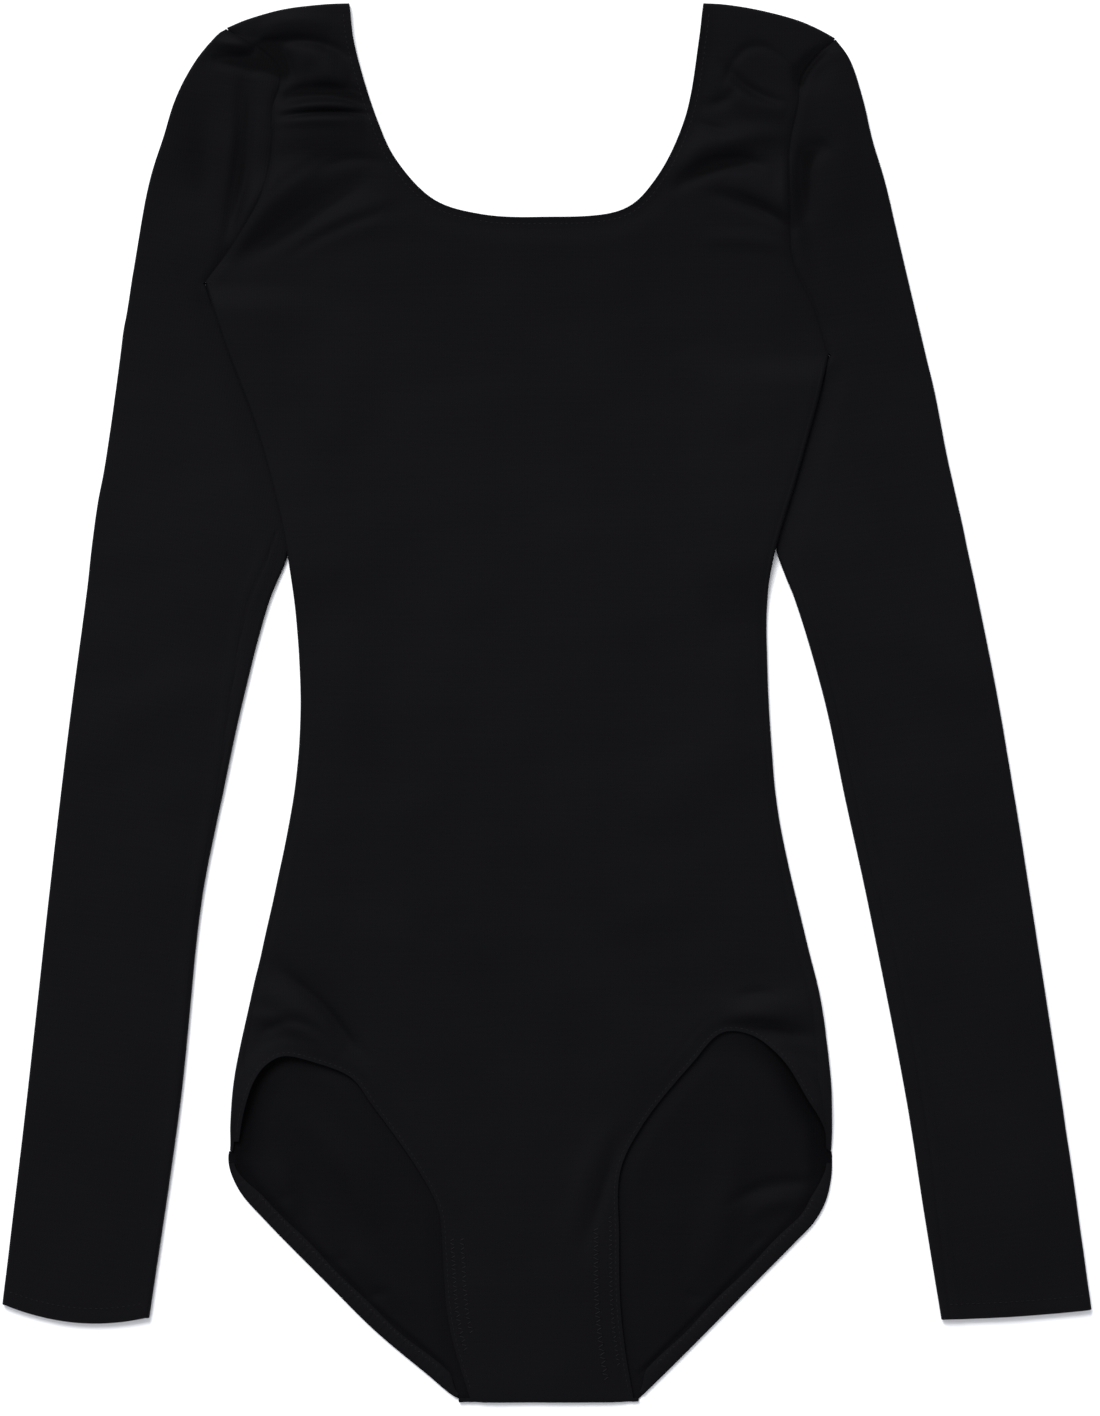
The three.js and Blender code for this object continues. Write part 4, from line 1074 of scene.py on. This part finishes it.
def sew(name, places, tree, material, spacing=2.6, length=2.0, width=0.5, slant=0.0):
    """Stitches along places in millimetres, as a plain mesh."""
    mesh = bpy.data.meshes.new(name)
    mesh.from_pydata((places * MM).tolist(), [(k, k + 1) for k in range(len(places) - 1)], [])
    guide = add_object(name + "_guide", mesh)
    modifier = guide.modifiers.new("stitch row", "NODES")
    modifier.node_group = tree
    given = {"Spacing": spacing * MM, "Length": length * MM, "Width": width * MM,
             "Slant": slant, "Thread": material}
    for item in tree.interface.items_tree:
        if item.in_out == "INPUT" and item.name in given:
            modifier[item.identifier] = given[item.name]
    evaluated = guide.evaluated_get(bpy.context.evaluated_depsgraph_get())
    stitched = bpy.data.meshes.new_from_object(evaluated)
    bpy.data.objects.remove(guide)
    stitched.name = name
    stitched.shade_smooth()
    piece = add_object(name, stitched)
    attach(piece, "root")
    return piece


def on_surface(flat, height, proud=0.02):
    return np.column_stack([flat, height(flat) + CLOTH / 2 + proud])


def hip_shade(flat):
    """1 deep inside the folded hips, which the leg openings show, and 0 elsewhere."""
    shades = []
    for half in HALVES.values():
        distance, along = from_line(half.front_leg.samples, flat)
        shades.append((1 - smoothstep(np.abs(distance), *UNDER_LEG_EDGE))
                      * (1 - smoothstep(along / half.front_leg.length, *LEG_EDGE_STRETCH)))
        inside = half.inward * from_line(hip_outline(half), flat)[0]
        shades.append((1 - smoothstep(inside, *UNDER_OUTLINE)) * smoothstep(inside, *OFF_OUTLINE)
                      * smoothstep(flat[:, 1], *HIP_LEVELS) * smoothstep(-flat[:, 1], *BELOW_HIP))
    return np.max(shades, axis=0)


def crease_shade(flat):
    """1 at the bottom of the deepest creases, and 0 where the cloth lies open."""
    return smoothstep(-folds(flat, FOLDS) - folds(flat, CREASES), *DEEP_CREASE)


def cut_and_place(node, sheet, material, seams, edges, shade=None, face_up=True,
                  thickness=CLOTH):
    """The wall of a sheet as the piece that stands for a node. Each point knows how far the
    nearest seam and free edge are, its place along that edge, whether it is on the inner side
    of the cloth, and how little light gets to it. face_up says which side shows."""
    places, faces, normals, points, upper_side = wall(sheet, thickness)
    flat = points[:, :2]
    found = [from_line(line, flat) for line in edges]
    distances = np.abs([distance for distance, _ in found])
    inner = 1 - upper_side if face_up else upper_side
    piece = make_object(f"{node}_cloth", places, faces, normals, {
        "seam": np.min([np.abs(from_line(line, flat)[0]) for line in seams], axis=0),
        "edge": np.min(distances, axis=0),
        "along": np.choose(np.argmin(distances, axis=0), [place for _, place in found]),
        "inner_side": inner,
        "shade": shade(flat) * (face_up or inner > 0.5) if shade else np.zeros(len(flat))})
    piece.data.materials.append(material)
    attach(piece, "root")
    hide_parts(node)
    return piece


def dress():
    tree, black_thread = stitch_tree(), thread()
    body_grain = jersey("black cotton jersey, body grain", 0)
    side_seams = [move_aside(half.side.samples,
                             half.roll_at(half.side.samples[:, 1]) * half.inward)
                  for half in HALVES.values()]
    armholes = [half.armhole.samples for half in HALVES.values()]
    body_seams = [*armholes, *side_seams, *(half.shoulder.samples for half in HALVES.values())]
    front_edges = [neckline.samples, *(half.front_leg.samples for half in HALVES.values())]
    back_edges = [neckline.samples, *(half.back_leg.samples for half in HALVES.values())]
    front = cut_and_place("front", build_front(), body_grain, body_seams, front_edges,
                          crease_shade)
    back = cut_and_place("back", build_back(), body_grain, body_seams, back_edges, hip_shade,
                         face_up=False)
    on_front, on_back = [], []

    for name, half in HALVES.items():
        grain = jersey(f"black cotton jersey, {name} sleeve grain", half.inward * 0.13)
        sheet, cuff = build_sleeve(half)
        sleeve = cut_and_place(f"sleeve_{name}", sheet, grain,
                               [half.armhole.samples, half.seam.samples], [cuff], crease_shade)
        hem = cut_and_place(f"leg_hem_{name}", build_leg_hem(half), body_grain,
                            [half.seam.samples], [half.back_leg.samples],
                            thickness=HEM_THICKNESS)

        for row in LEG_ROWS[name]:
            leg = half.front_leg.stretch(row.start, row.end, 220)
            aside = move_aside(leg, -half.inward * row.inset)
            on_front.append(sew(f"leg_stitches_{name}_{row.inset}", on_surface(
                aside, front_height, row.proud), tree, black_thread, spacing=row.spacing,
                length=row.length, width=row.width, slant=row.slant))
        back_leg = half.back_leg.stretch(LEG_HEM.start + HEM_STITCHES["from_start"],
                                         LEG_HEM.end - HEM_STITCHES["from_end"], 120)
        inset = LEG_HEM.inset + LEG_HEM.width - HEM_STITCHES["inset"]
        inside = move_aside(back_leg, -half.inward * inset)
        on_hem = np.column_stack([inside, np.full(len(inside), HEM_STITCHES["height"])])
        row = sew(f"hem_stitches_{name}", on_hem, tree, black_thread, spacing=2.2, length=2.2,
                  width=0.4, slant=0.8)
        on_back += [hem, row]
        cuff_row = cuff[2:-2] + (0, CUFF_BAND - ROW_IN_BAND)
        on_cuff = sew(f"cuff_stitches_{name}", on_surface(
            cuff_row, lambda flat: sleeve_height(half, flat) + BAND_RISE), tree, black_thread,
            spacing=2.6, length=1.9, width=0.36)
    neck = move_aside(neckline.stretch(0.02, 0.98, 220), NECK_BAND - ROW_IN_BAND)
    on_front.append(sew("neck_stitches", on_surface(neck, front_height), tree, black_thread,
                        length=1.8, width=0.34))


def set_stage():
    floor = bpy.data.meshes.new("table")
    reach = 6.0
    floor.from_pydata([(-reach, -reach, 0), (reach, -reach, 0), (reach, reach, 0),
                       (-reach, reach, 0)], [], [(0, 1, 2, 3)])
    floor.materials.append(paper())
    table = add_object("table", floor)

    world = bpy.data.worlds.new("studio")
    world.use_nodes = True
    background = world.node_tree.nodes["Background"]
    background.inputs["Color"].default_value = linear("#f6f8ff")
    background.inputs["Strength"].default_value = 0.72
    bpy.context.scene.world = world
    light = bpy.data.lights.new("window", "AREA")
    light.shape = "RECTANGLE"
    light.size, light.size_y = 3.2, 3.2
    light.energy = 480
    lamp = add_object("window", light)
    lamp.location = (-1.8, 4.1, 4.6)
    lamp.rotation_euler = (math.radians(-44.2), 0, math.radians(23.7))


def set_camera():
    """Straight above, with the photo's frame of 534.6 by 688.2 mm round (1.5, -2.2)."""
    camera = bpy.data.cameras.new("camera")
    camera.sensor_fit = "VERTICAL"
    camera.sensor_height = 36
    camera.lens = 100
    view = add_object("camera", camera)
    frame_height = 688.2
    view.location = (1.5 * MM, -2.2 * MM, frame_height * MM * camera.lens / camera.sensor_height)
    bpy.context.scene.camera = view
    bpy.context.scene.view_settings.view_transform = "Standard"


dress()
set_stage()
set_camera()
